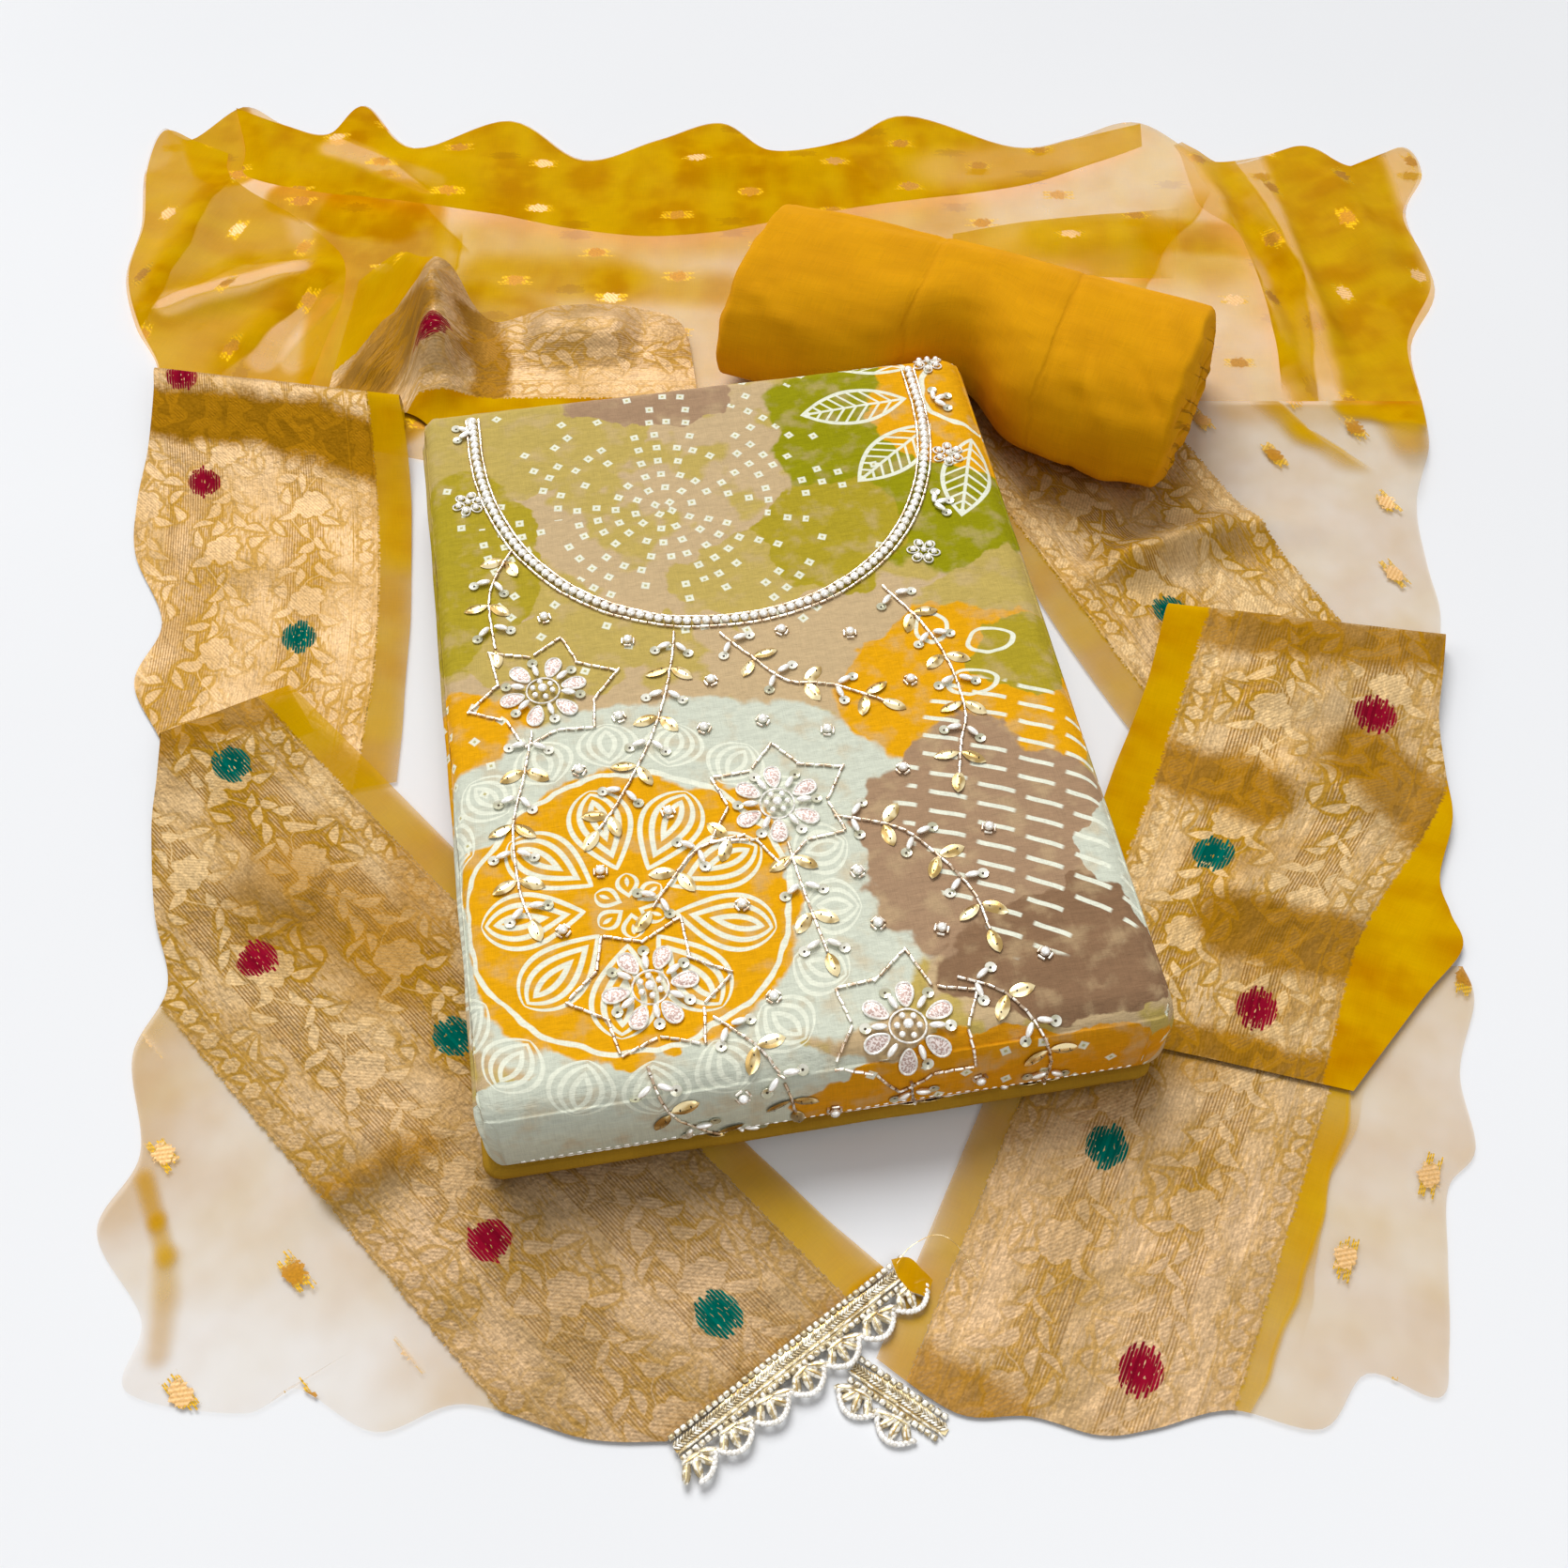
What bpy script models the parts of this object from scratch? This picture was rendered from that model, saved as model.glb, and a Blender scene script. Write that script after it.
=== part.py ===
"""Unstitched salwar kameez suit, laid out flat: a folded kameez pack with sewn-on trim, a rolled
bundle of salwar cloth, and an organza dupatta laid round them in a horseshoe.

Lengths in the tables are millimetres. Each cloth is an open surface with a Solidify wall.
"""
from collections import namedtuple
from math import atan2, cos, exp, hypot, pi, radians, sin

import bmesh
import bpy
from mathutils import Vector

MM = 0.001

# Where the middle of the whole set lies in the layout's own coordinates.
SET_CENTRE = (10.44, 76.9)

# The dupatta: one layer of cloth, and how high the cloth lies on 0, 1 or 2 layers below it.
CLOTH = 1.2
CLEAR = 0.3
PITCH = CLOTH + CLEAR

# The kameez pack, in its own frame, centred on the layout's zero and turned about Z.
PACK_TURN = radians(9.75)
PACK_WIDTH = 250.0
PACK_LENGTH = 354.0
PACK_TOP = 46.0
PACK_CROWN = 0.8
PACK_BASE = 2 * PITCH
LINING_THICK = 7.0
LINING_SHIFT = (-4.0, -4.0)
LINING_INSET = 3.0
LINING_ROUND = (7.0, 7.0, 3.4)
FRONT_ROUND = 16.0
BACK_ROUND = 9.0
LEFT_ROUND = 8.0
RIGHT_ROUND = 13.0
BASE_ROUND = 5.0
# How far each layer stands out of the pack's left side and back, from the lowest up, and the
# groove between two layers. The right side, where the cloth folds over, shows a share of them.
LAYER_STEPS = (0.0, -2.4, 0.4, -1.2, -0.3)
LAYER_GROOVE = -1.8
RIGHT_SHARE = 0.4
PACK_CELLS = (14, 18, 2 * len(LAYER_STEPS))
LINING_CELLS = (8, 10, 2)

# The neck trim: a U of bead rows, as half of an upright oval with straight sides above it.
NECK_CENTRE = (-2.0, 150.0)
NECK_HALF_WIDTH = 99.0
NECK_DEPTH = 120.0
NECK_POWER = 2.15
NECK_END = 166.0
NECK_BAND = 8.0
NECK_RISE = 2.6
NECK_WALL = 1.0
NECK_STEPS = 44

# Bead flowers.
FLOWER_RADIUS = 16.5
FLOWER_PETALS = 6
FLOWER_POINTS = 24
FLOWER_WALL = 1.0
PETAL_NOTCH = 0.38
# Each ring's share of the radius, and its height over the cloth.
FLOWER_RINGS = ((1.0, 1.1), (0.78, 1.5), (0.56, 1.3), (0.34, 1.2), (0.27, 2.8))
FlowerSpot = namedtuple("FlowerSpot", "x y turn")
FLOWERS = (
    FlowerSpot(-84, 6, 10),
    FlowerSpot(-2, -63, 25),
    FlowerSpot(-59, -133, 12),
    FlowerSpot(27, -160, 20),
)

# The salwar bundle, in its own frame.
BUNDLE_CENTRE = (98.2, 222.1)
BUNDLE_TURN = radians(-21.5)
BUNDLE_LENGTH = 226.0
BUNDLE_WIDTH = 108.0
BUNDLE_HEIGHT = 58.0
BUNDLE_ROUND_LOW = (8.0, 46.0, 20.0)
BUNDLE_ROUND_HIGH = (7.0, 46.0, 34.0)
BUNDLE_CELLS = (20, 10, 10)
BUNDLE_FOLD_CELLS = 3
BUNDLE_END_GROOVE = 3.0
BUNDLE_END_SAG = 3.0
DENT_DEPTH = 33.0
DENT_PLACE = 4.0
DENT_SPANS = (31.0, 24.0)

# Lace on the two cut ends of the dupatta.
LACE_BAND = 10.0
LACE_SCALLOP = 7.5
LACE_NOTCH = 2.0
LACE_PITCH = 15.0
LACE_STEPS = 5
LACE_THICK = 1.5
LACE_OVERLAP = 2.0

# A row is one section across a stretch of cloth: its inner and outer end, with the height of the
# face that shows. Where the cloth turns back under itself, that face looks down.
Row = namedtuple("Row", "inner_x inner_y inner_z outer_x outer_y outer_z")
# A fold is a soft ridge along a line.
Fold = namedtuple("Fold", "x0 y0 x1 y1 height width")

FLAT = CLOTH
OVER_1 = CLOTH + PITCH
OVER_2 = CLOTH + 2 * PITCH
FOLD_END = 0.35

# A cube's vertex lies on one of its faces where that coordinate is past this.
ON_FACE = 0.999
# How strongly a block's cells draw towards its rounded edges.
EDGE_DRAW = 0.55

BACK_ROWS = (
    Row(-150, 165, FLAT, -293, 200, FLAT),
    Row(-149, 165, FLAT, -298, 232, FLAT),
    Row(-148, 165, FLAT, -315, 262, FLAT),
    Row(-147, 165, FLAT, -328, 300, FLAT),
    Row(-145, 165, FLAT, -329, 342, FLAT),
    Row(-141, 165, FLAT, -337, 390, FLAT),
    Row(-136, 165, FLAT, -335, 428, FLAT),
    Row(-130, 166, FLAT, -317, 418, FLAT),
    Row(-124, 167, FLAT, -294, 449, FLAT),
    Row(-118, 168, FLAT, -268, 432, FLAT),
    Row(-112, 169, FLAT, -242, 424, FLAT),
    Row(-105, 170, FLAT, -225, 450, FLAT),
    Row(-98, 171, FLAT, -193, 411, FLAT),
    Row(-90, 173, FLAT, -142, 436, FLAT),
    Row(-80, 175, FLAT, -99, 400, FLAT),
    Row(-68, 177, FLAT, -59, 418, FLAT),
    Row(-54, 179, FLAT, -24, 434, FLAT),
    Row(-38, 182, FLAT, 5, 408, FLAT),
    Row(-20, 185, FLAT, 45, 418, FLAT),
    Row(0, 189, FLAT, 80, 441, FLAT),
    Row(18, 192, FLAT, 138, 412, FLAT),
    Row(34, 195, FLAT, 172, 420, FLAT),
    Row(48, 198, FLAT, 210, 434, FLAT),
    Row(60, 201, FLAT, 250, 396, FLAT),
    Row(69, 203, FLAT, 299, 412, FLAT),
    Row(76, 205, FLAT, 321, 394, FLAT),
    Row(81, 206, FLAT, 353, 412, FLAT),
    Row(86, 207, FLAT, 358, 386, FLAT),
    Row(90, 207.5, FLAT, 342, 350, FLAT),
    Row(93, 207.9, FLAT, 345, 291, FLAT),
    Row(95, 208, FLAT, 324, 248, FLAT),
    Row(96, 208, FLAT, 321, 208, FLAT),
)

BAND_ROWS = (
    Row(-283, 402, 3.5, -297, 446, OVER_1),
    Row(-278, 378, 6.5, -268, 430, OVER_1),
    Row(-240, 362, 8.5, -242, 421, OVER_1),
    Row(-212, 357, 9.0, -225, 447, OVER_1),
    Row(-180, 351, 9.0, -193, 408, OVER_1),
    Row(-142, 343, 8.5, -142, 433, OVER_1),
    Row(-100, 331, 8.0, -99, 397, OVER_1),
    Row(-62, 325, 8.0, -59, 415, OVER_1),
    Row(-30, 327, 8.5, -24, 431, OVER_1),
    Row(0, 334, 9.0, 5, 405, OVER_1),
    Row(38, 345, 9.0, 45, 415, OVER_1),
    Row(72, 354, 8.0, 80, 438, OVER_1),
    Row(132, 367, 7.0, 138, 409, OVER_1),
    Row(170, 385, 6.0, 172, 417, OVER_1),
    Row(208, 408, 4.0, 210, 431, OVER_1),
)
BAND_FOLDS = (
    Fold(-230, 395, -150, 375, 3.0, 14),
    Fold(-60, 385, 60, 392, 2.5, 16),
)

LEFT_FOLD_ROWS = (
    Row(-222, 200, OVER_1, -291, 206, OVER_1),
    Row(-220, 222, OVER_1, -297, 232, OVER_1),
    Row(-216, 250, 5.0, -313, 262, 3.4),
    Row(-212, 280, 6.5, -326, 300, 3.4),
    Row(-218, 312, 6.5, -327, 342, 3.4),
    Row(-248, 346, 5.0, -335, 390, 3.4),
    Row(-286, 378, 3.4, -333, 424, OVER_1),
    Row(-294, 404, OVER_1, -316, 416, OVER_1),
)
LEFT_FOLD_FOLDS = (
    Fold(-288, 382, -312, 272, 6.0, 11),
    Fold(-304, 270, -232, 296, 5.0, 10),
    Fold(-262, 236, -222, 300, 4.0, 12),
)

GATHER_ROWS = (
    Row(-211, 198, OVER_1, -207, 296, OVER_1),
    Row(-200, 199, OVER_1, -190, 318, OVER_1),
    Row(-186, 199, OVER_1, -177, 312, 5.0),
    Row(-172, 198, OVER_1, -166, 302, 9.0),
    Row(-160, 190, OVER_1, -156, 293, 7.0),
    Row(-148, 172, OVER_1, -146, 274, OVER_1),
    Row(-133, 173, OVER_1, -132, 262, OVER_1),
    Row(-116, 175, OVER_1, -114, 268, 4.0),
    Row(-96, 178, OVER_1, -96, 273, 4.0),
    Row(-70, 182, OVER_1, -70, 273, 4.0),
    Row(-46, 187, OVER_1, -44, 265, 3.4),
    Row(-28, 190, OVER_1, -36, 250, OVER_1),
)
GATHER_FOLDS = (
    Fold(-152, 206, -166, 292, 21.0, 13),
    Fold(-120, 246, -58, 250, 13.0, 13),
    Fold(-196, 214, -184, 268, 6.0, 12),
)

SHORT_FOLD_ROWS = (
    Row(98, 306, OVER_1, 100, 334, OVER_1),
    Row(128, 301, OVER_1, 132, 339, 5.0),
    Row(160, 298, 4.0, 164, 343, 6.5),
    Row(192, 296, 4.0, 196, 347, 6.5),
    Row(212, 298, OVER_1, 221, 352, 5.0),
)
SHORT_FOLD_FOLDS = (
    Fold(120, 318, 205, 322, 4.0, 14),
)

PLEAT_ROWS = (
    Row(226, 411, OVER_1, 231, 414, OVER_1),
    Row(228, 401, OVER_1, 250, 394, OVER_1),
    Row(229, 388, OVER_1, 276, 402, OVER_1),
    Row(230, 373, OVER_1, 299, 410, OVER_1),
    Row(232, 356, OVER_1, 321, 392, OVER_1),
    Row(240, 339, OVER_1, 351, 409, OVER_1),
    Row(248, 325, OVER_1, 356, 386, OVER_1),
    Row(251, 305, OVER_1, 340, 350, OVER_1),
    Row(253, 281, OVER_1, 343, 318, OVER_1),
    Row(254, 258, OVER_1, 342, 290, OVER_1),
    Row(255, 238, OVER_1, 322, 249, OVER_1),
    Row(253, 215, OVER_1, 319, 215, OVER_1),
)
PLEAT_FOLDS = (
    Fold(234, 400, 262, 226, 7.0, 8),
    Fold(262, 378, 284, 228, 9.0, 9),
    Fold(300, 390, 326, 300, 6.0, 12),
)

RIGHT_UPPER_ROWS = (
    Row(97, 207.5, FLAT, 321, 207.5, FLAT),
    Row(101, 175, FLAT, 317, 175, FLAT),
    Row(106, 145, FLAT, 304, 140, FLAT),
    Row(113, 112, FLAT, 301, 102, FLAT),
    Row(124, 80, FLAT, 301, 74, FLAT),
    Row(138, 46, FLAT, 296, 52, FLAT),
    Row(152, 16, FLAT, 286, 18, FLAT),
    Row(159, 2, FLAT, 280, 0, FLAT),
)
RIGHT_UPPER_FOLDS = (
    Fold(150, 94, 222, 124, 10.0, 10),
    Fold(222, 124, 262, 122, 4.0, 10),
    Fold(312, 196, 304, 138, 5.0, 8),
)

RIGHT_MIDDLE_ROWS = (
    Row(174, 50, PITCH, 290, 33, PITCH),
    Row(178, 66, PITCH, 295, 48, PITCH),
    Row(181, 73, 5.0, 298, 55, 5.0),
    Row(178, 68, 9.5, 296, 50, 9.5),
    Row(173, 52, 8.0, 291, 31, 8.5),
    Row(166, 30, 5.6, 285, 8, 6.5),
    Row(157, 8, 3.4, 283, -18, 4.0),
    Row(147, -15, OVER_1, 281, -40, 3.4),
    Row(136, -44, OVER_1, 270, -68, 3.4),
    Row(124, -78, OVER_1, 271, -84, OVER_1),
    Row(114, -102, OVER_1, 272, -100, OVER_1),
    Row(107, -118, OVER_1, 252, -122, OVER_1),
    Row(102, -130, OVER_1, 219, -160, OVER_1),
)
RIGHT_MIDDLE_FOLDS = (
    Fold(208, -8, 262, -38, 5.0, 15),
    Fold(176, -66, 244, -92, 4.0, 14),
    Fold(206, 30, 250, 16, 2.5, 12),
)

RIGHT_LOWER_ROWS = (
    Row(108, -110, FLAT, 42, -257, FLAT),
    Row(120, -110, FLAT, 68, -275, FLAT),
    Row(134, -110, FLAT, 92, -276, FLAT),
    Row(148, -110, FLAT, 114, -282, FLAT),
    Row(162, -110, FLAT, 132, -280, FLAT),
    Row(176, -110, FLAT, 158, -274, FLAT),
    Row(190, -110, FLAT, 187, -280, FLAT),
    Row(202, -110, FLAT, 205, -262, FLAT),
    Row(212, -110, FLAT, 227, -270, FLAT),
    Row(222, -110, FLAT, 234, -254, FLAT),
    Row(231, -110, FLAT, 240, -224, FLAT),
    Row(238, -110, FLAT, 246, -197, FLAT),
    Row(244, -110, FLAT, 259, -182, FLAT),
    Row(250, -109, FLAT, 260, -152, FLAT),
    Row(255, -108, FLAT, 272, -122, FLAT),
    Row(262, -107, FLAT, 271, -107, FLAT),
)

LEFT_UPPER_ROWS = (
    Row(-148, -20, FLAT, -240, -40, FLAT),
    Row(-149, 6, FLAT, -247, -4, FLAT),
    Row(-151, 34, FLAT, -267, 32, FLAT),
    Row(-153, 68, FLAT, -262, 66, FLAT),
    Row(-157, 104, FLAT, -282, 106, FLAT),
    Row(-161, 138, 2.0, -288, 138, 2.0),
    Row(-165, 164, 6.0, -288, 170, 7.0),
    Row(-169, 184, 11.0, -290, 200, 13.0),
    Row(-172, 196, 13.5, -292, 214, 15.5),
    Row(-173, 202, 10.0, -293, 220, 10.0),
    Row(-172, 200, 4.4, -292, 217, 4.4),
    Row(-170, 189, 2 * PITCH, -290, 202, 2 * PITCH),
)
LEFT_UPPER_FOLDS = (
    Fold(-262, 120, -206, 96, 2.5, 18),
)

LEFT_LOWER_ROWS = (
    Row(-186, 6, PITCH, -241, -20, PITCH),
    Row(-193, 18, PITCH, -246, -8, PITCH),
    Row(-199, 27, 4.2, -249, 1, 4.2),
    Row(-196, 24, 8.0, -247, -2, 8.0),
    Row(-183, 11, 6.5, -245, -22, 6.0),
    Row(-164, -8, 4.2, -243, -45, 3.6),
    Row(-142, -31, OVER_1, -234, -84, OVER_1),
    Row(-118, -56, FLAT, -223, -116, FLAT),
    Row(-101, -74, FLAT, -230, -145, FLAT),
    Row(-85, -92, FLAT, -219, -184, FLAT),
    Row(-67, -112, FLAT, -228, -213, FLAT),
    Row(-50, -130, FLAT, -206, -244, FLAT),
    Row(-34, -147, FLAT, -206, -268, FLAT),
    Row(-18, -163, FLAT, -166, -275, FLAT),
    Row(-3, -179, FLAT, -150, -267, FLAT),
    Row(12, -194, FLAT, -122, -281, FLAT),
    Row(26, -208, FLAT, -94, -272, FLAT),
    Row(37, -218, FLAT, -54, -283, FLAT),
    Row(47, -227, FLAT, -27, -284, FLAT),
)
LEFT_LOWER_FOLDS = (
    Fold(-156, -206, -122, -178, 4.5, 9),
    Fold(-206, -66, -168, -78, 3.5, 16),
)

# Lace: the line it is sewn along, read from its upper end to its lower end, how far it starts from
# that line, and the height of its top. The left strip lies on the cloth and over the right strip.
LaceLine = namedtuple("LaceLine", "x0 y0 x1 y1 start top")
LACE_LEFT = LaceLine(53.0, -222.8, -26.0, -284.6, -LACE_OVERLAP, 2 * LACE_THICK + CLEAR)
LACE_RIGHT = LaceLine(41.5, -258.5, 67.5, -276.5, CLEAR, LACE_THICK)


def curve_through(rows, place):
    """Catmull-Rom value of a table of equal tuples at a fractional row number."""
    first = min(int(place), len(rows) - 2)
    t = place - first
    before = rows[max(first - 1, 0)]
    start = rows[first]
    end = rows[first + 1]
    after = rows[min(first + 2, len(rows) - 1)]
    return [
        0.5 * (2 * b + (c - a) * t + (2 * a - 5 * b + 4 * c - d) * t * t + (3 * b - a - 3 * c + d) * t ** 3)
        for a, b, c, d in zip(before, start, end, after)
    ]


def ease(value):
    value = min(max(value, 0.0), 1.0)
    return value * value * (3 - 2 * value)


def fold_height(x, y, folds):
    """How far the soft ridges lift the cloth at one place."""
    total = 0.0
    for fold in folds:
        run_x = fold.x1 - fold.x0
        run_y = fold.y1 - fold.y0
        share = ((x - fold.x0) * run_x + (y - fold.y0) * run_y) / (run_x ** 2 + run_y ** 2)
        held = min(max(share, 0.0), 1.0)
        away = hypot(x - fold.x0 - held * run_x, y - fold.y0 - held * run_y)
        taper = FOLD_END + (1 - FOLD_END) * ease(4 * held) * ease(4 - 4 * held)
        total += fold.height * taper * exp(-(away / fold.width) ** 2)
    return total


def to_set(x, y, z):
    """A place in the layout's millimetres, in metres about the middle of the set."""
    return Vector((x - SET_CENTRE[0], y - SET_CENTRE[1], z)) * MM


def turned(x, y, angle, centre=(0.0, 0.0)):
    return (
        centre[0] + x * cos(angle) - y * sin(angle),
        centre[1] + x * sin(angle) + y * cos(angle),
    )


def cloth_material(name, colour, roughness, metallic=0.0):
    material = bpy.data.materials.new(name)
    material.use_nodes = True
    shader = material.node_tree.nodes["Principled BSDF"]
    shader.inputs["Base Color"].default_value = (*colour, 1.0)
    shader.inputs["Roughness"].default_value = roughness
    shader.inputs["Metallic"].default_value = metallic
    material.diffuse_color = (*colour, 1.0)
    return material


def finish(bm, name, material, collection):
    mesh = bpy.data.meshes.new(name)
    bm.to_mesh(mesh)
    bm.free()
    mesh.materials.append(material)
    mesh.shade_smooth()
    part = bpy.data.objects.new(name, mesh)
    collection.objects.link(part)
    return part


def give_wall(part, thickness):
    wall = part.modifiers.new("Wall", "SOLIDIFY")
    wall.thickness = thickness * MM
    wall.offset = -1.0
    wall.use_even_offset = False


def face_up(bm):
    """Turn an open sheet so that most of it faces up, and Solidify's wall goes below it."""
    bm.normal_update()
    if sum(face.normal.z * face.calc_area() for face in bm.faces) < 0:
        bmesh.ops.reverse_faces(bm, faces=bm.faces)


def make_sheet(name, rows, folds, steps, across, material, collection):
    """One stretch of cloth: a grid laid through the rows, lifted by its folds."""
    bm = bmesh.new()
    last = len(rows) - 1
    bmesh.ops.create_grid(bm, x_segments=last * steps, y_segments=across, size=1.0)
    for vert in bm.verts:
        place = (vert.co.x + 1) / 2 * last
        over = (vert.co.y + 1) / 2
        row = Row(*curve_through(rows, place))
        x = row.inner_x + over * (row.outer_x - row.inner_x)
        y = row.inner_y + over * (row.outer_y - row.inner_y)
        z = max(row.inner_z, CLOTH) + over * (max(row.outer_z, CLOTH) - max(row.inner_z, CLOTH))
        vert.co = to_set(x, y, z + fold_height(x, y, folds))
    face_up(bm)
    part = finish(bm, name, material, collection)
    give_wall(part, CLOTH)
    return part


def divided_cube(cells):
    """A cube from -1 to 1 cut into a number of cells along each axis."""
    bm = bmesh.new()
    bmesh.ops.create_cube(bm, size=2.0)
    for axis, count in enumerate(cells):
        along = [
            edge for edge in bm.edges
            if abs(edge.verts[0].co[axis] - edge.verts[1].co[axis]) > 1.0
        ]
        bmesh.ops.subdivide_edges(bm, edges=along, cuts=count - 1, use_grid_fill=True)
    return bm


def soft_corner(point, low, high, round_low, round_high):
    """Round a box's edges, each side by its own radius."""
    offset = []
    core = []
    for value, bottom, top, r_bottom, r_top in zip(point, low, high, round_low, round_high):
        held = min(max(value, bottom + r_bottom), top - r_top)
        radius = r_bottom if value < held else r_top
        core.append((held, radius))
        offset.append((value - held) / radius)
    length = max(1.0, Vector(offset).length)
    return [held + radius * step / length for (held, radius), step in zip(core, offset)]


def spread(value):
    """Move a cube's even cells towards its edges, where the cloth rounds over."""
    return (1 - EDGE_DRAW) * value + EDGE_DRAW * sin(value * pi / 2)


def soft_block(low, high, round_low, round_high, cells):
    """A divided cube as a rounded block; yields each vertex with its cube place and new place."""
    bm = divided_cube(cells)
    places = []
    for vert in bm.verts:
        cube = vert.co.copy()
        share = (spread(cube.x), spread(cube.y), cube.z)
        box = [b + (s + 1) / 2 * (t - b) for s, b, t in zip(share, low, high)]
        places.append((vert, cube, soft_corner(box, low, high, round_low, round_high)))
    return bm, places


def pack_top(x, y):
    """Height of the pack's top face in its own frame: a little full in the middle."""
    across = (2 * x / PACK_WIDTH) ** 4
    along = (2 * y / PACK_LENGTH) ** 4
    return PACK_TOP - PACK_CROWN * min(across + along, 1.0)


def on_pack(x, y, lift):
    """A place on the pack's top, wrapped over its rounded front edge, moved out by lift."""
    turn_at = -PACK_LENGTH / 2 + FRONT_ROUND
    wrap = max(turn_at - y, 0.0) / FRONT_ROUND
    angle = min(wrap, pi / 2)
    drop = (wrap - angle) * FRONT_ROUND
    out = (FRONT_ROUND + lift) * sin(angle)
    flat_y = max(y, turn_at) - out
    level = pack_top(x, max(y, turn_at)) - FRONT_ROUND + (FRONT_ROUND + lift) * cos(angle) - drop
    world_x, world_y = turned(x, flat_y, PACK_TURN)
    return to_set(world_x, world_y, level)


def make_pack(material, collection):
    """The folded kameez: smooth over the front fold, layered at its sides and back."""
    half_x = PACK_WIDTH / 2
    half_y = PACK_LENGTH / 2
    base = PACK_BASE + LINING_THICK + CLEAR
    low = (-half_x, -half_y, base)
    high = (half_x, half_y, PACK_TOP)
    round_low = (LEFT_ROUND, FRONT_ROUND, BASE_ROUND)
    round_high = (RIGHT_ROUND, BACK_ROUND, FRONT_ROUND)
    bm, places = soft_block(low, high, round_low, round_high, PACK_CELLS)
    for vert, cube, (x, y, z) in places:
        level = round((cube.z + 1) / 2 * PACK_CELLS[2])
        at_side = abs(cube.x) > ON_FACE
        at_back = cube.y > ON_FACE
        if (at_side or at_back) and 0 < level < PACK_CELLS[2]:
            step = LAYER_STEPS[level // 2] if level % 2 else LAYER_GROOVE
            step *= RIGHT_SHARE if cube.x > ON_FACE else 1.0
            x += step * cube.x * at_side
            y += step * at_back
        if cube.z > ON_FACE:
            z += pack_top(x, y) - PACK_TOP
        vert.co = to_set(*turned(x, y, PACK_TURN), z)
    return finish(bm, "kameez_folded_pack", material, collection)


def make_lining(material, collection):
    """The plain cloth folded under the print, standing out at the front left corner."""
    half_x = PACK_WIDTH / 2 - LINING_INSET
    half_y = PACK_LENGTH / 2 - LINING_INSET
    low = (-half_x + LINING_SHIFT[0], -half_y + LINING_SHIFT[1], PACK_BASE)
    high = (half_x + LINING_SHIFT[0], half_y + LINING_SHIFT[1], PACK_BASE + LINING_THICK)
    bm, places = soft_block(low, high, LINING_ROUND, LINING_ROUND, LINING_CELLS)
    for vert, _, (x, y, z) in places:
        vert.co = to_set(*turned(x, y, PACK_TURN), z)
    return finish(bm, "kameez_lining", material, collection)


def make_bundle(material, collection):
    """The salwar cloth, folded and rolled: an oval bundle whose right end shows its layers.

    Its near side gives way where the pack's corner presses into it.
    """
    half_x = BUNDLE_LENGTH / 2
    half_y = BUNDLE_WIDTH / 2
    low = (-half_x, -half_y, PITCH)
    high = (half_x, half_y, PITCH + BUNDLE_HEIGHT)
    bm, places = soft_block(low, high, BUNDLE_ROUND_LOW, BUNDLE_ROUND_HIGH, BUNDLE_CELLS)
    for vert, cube, (x, y, z) in places:
        if cube.x > ON_FACE and abs(cube.z) < ON_FACE:
            level = round((cube.z + 1) / 2 * BUNDLE_CELLS[2])
            x -= BUNDLE_END_GROOVE if level % BUNDLE_FOLD_CELLS == 0 else 0.0
        dent = DENT_DEPTH * exp(-((x - DENT_PLACE) / DENT_SPANS[x > DENT_PLACE]) ** 2)
        y = half_y - (half_y - y) * (1 - dent / BUNDLE_WIDTH)
        sag = BUNDLE_END_SAG * abs(cube.x) ** 3 * max(cube.z, 0.0)
        vert.co = to_set(*turned(x, y, BUNDLE_TURN, BUNDLE_CENTRE), z - sag)
    return finish(bm, "salwar_bundle", material, collection)


def neck_line(share):
    """A place and the outward direction on the neck's U, from the left end to the right end."""
    straight = NECK_END - NECK_CENTRE[1]
    run = share * 2 - 1
    reach = straight / (straight + NECK_DEPTH * pi / 2)
    bend = min(max(run / (1 - reach), -1.0), 1.0) * pi / 2
    rise = max(abs(run) - (1 - reach), 0.0) / reach * straight
    power = 2 / NECK_POWER
    x = NECK_CENTRE[0] + NECK_HALF_WIDTH * abs(sin(bend)) ** power * (1 if bend > 0 else -1)
    y = NECK_CENTRE[1] - NECK_DEPTH * max(cos(bend), 0.0) ** power + rise
    return x, y


def make_neck_trim(material, collection):
    """The band of bead rows: a crowned ribbon laid along the U on the pack's top."""
    bm = bmesh.new()
    bmesh.ops.create_grid(bm, x_segments=NECK_STEPS, y_segments=2, size=1.0)
    for vert in bm.verts:
        share = (vert.co.x + 1) / 2
        side = vert.co.y
        x, y = neck_line(share)
        before = neck_line(max(share - 0.01, 0.0))
        after = neck_line(min(share + 0.01, 1.0))
        facing = atan2(after[1] - before[1], after[0] - before[0]) + pi / 2
        crown = NECK_RISE if abs(side) < 0.1 else CLOTH
        reach = side * NECK_BAND / 2
        vert.co = on_pack(x + reach * cos(facing), y + reach * sin(facing), CLEAR + crown)
    face_up(bm)
    part = finish(bm, "neck_trim", material, collection)
    give_wall(part, NECK_WALL)
    return part


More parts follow.
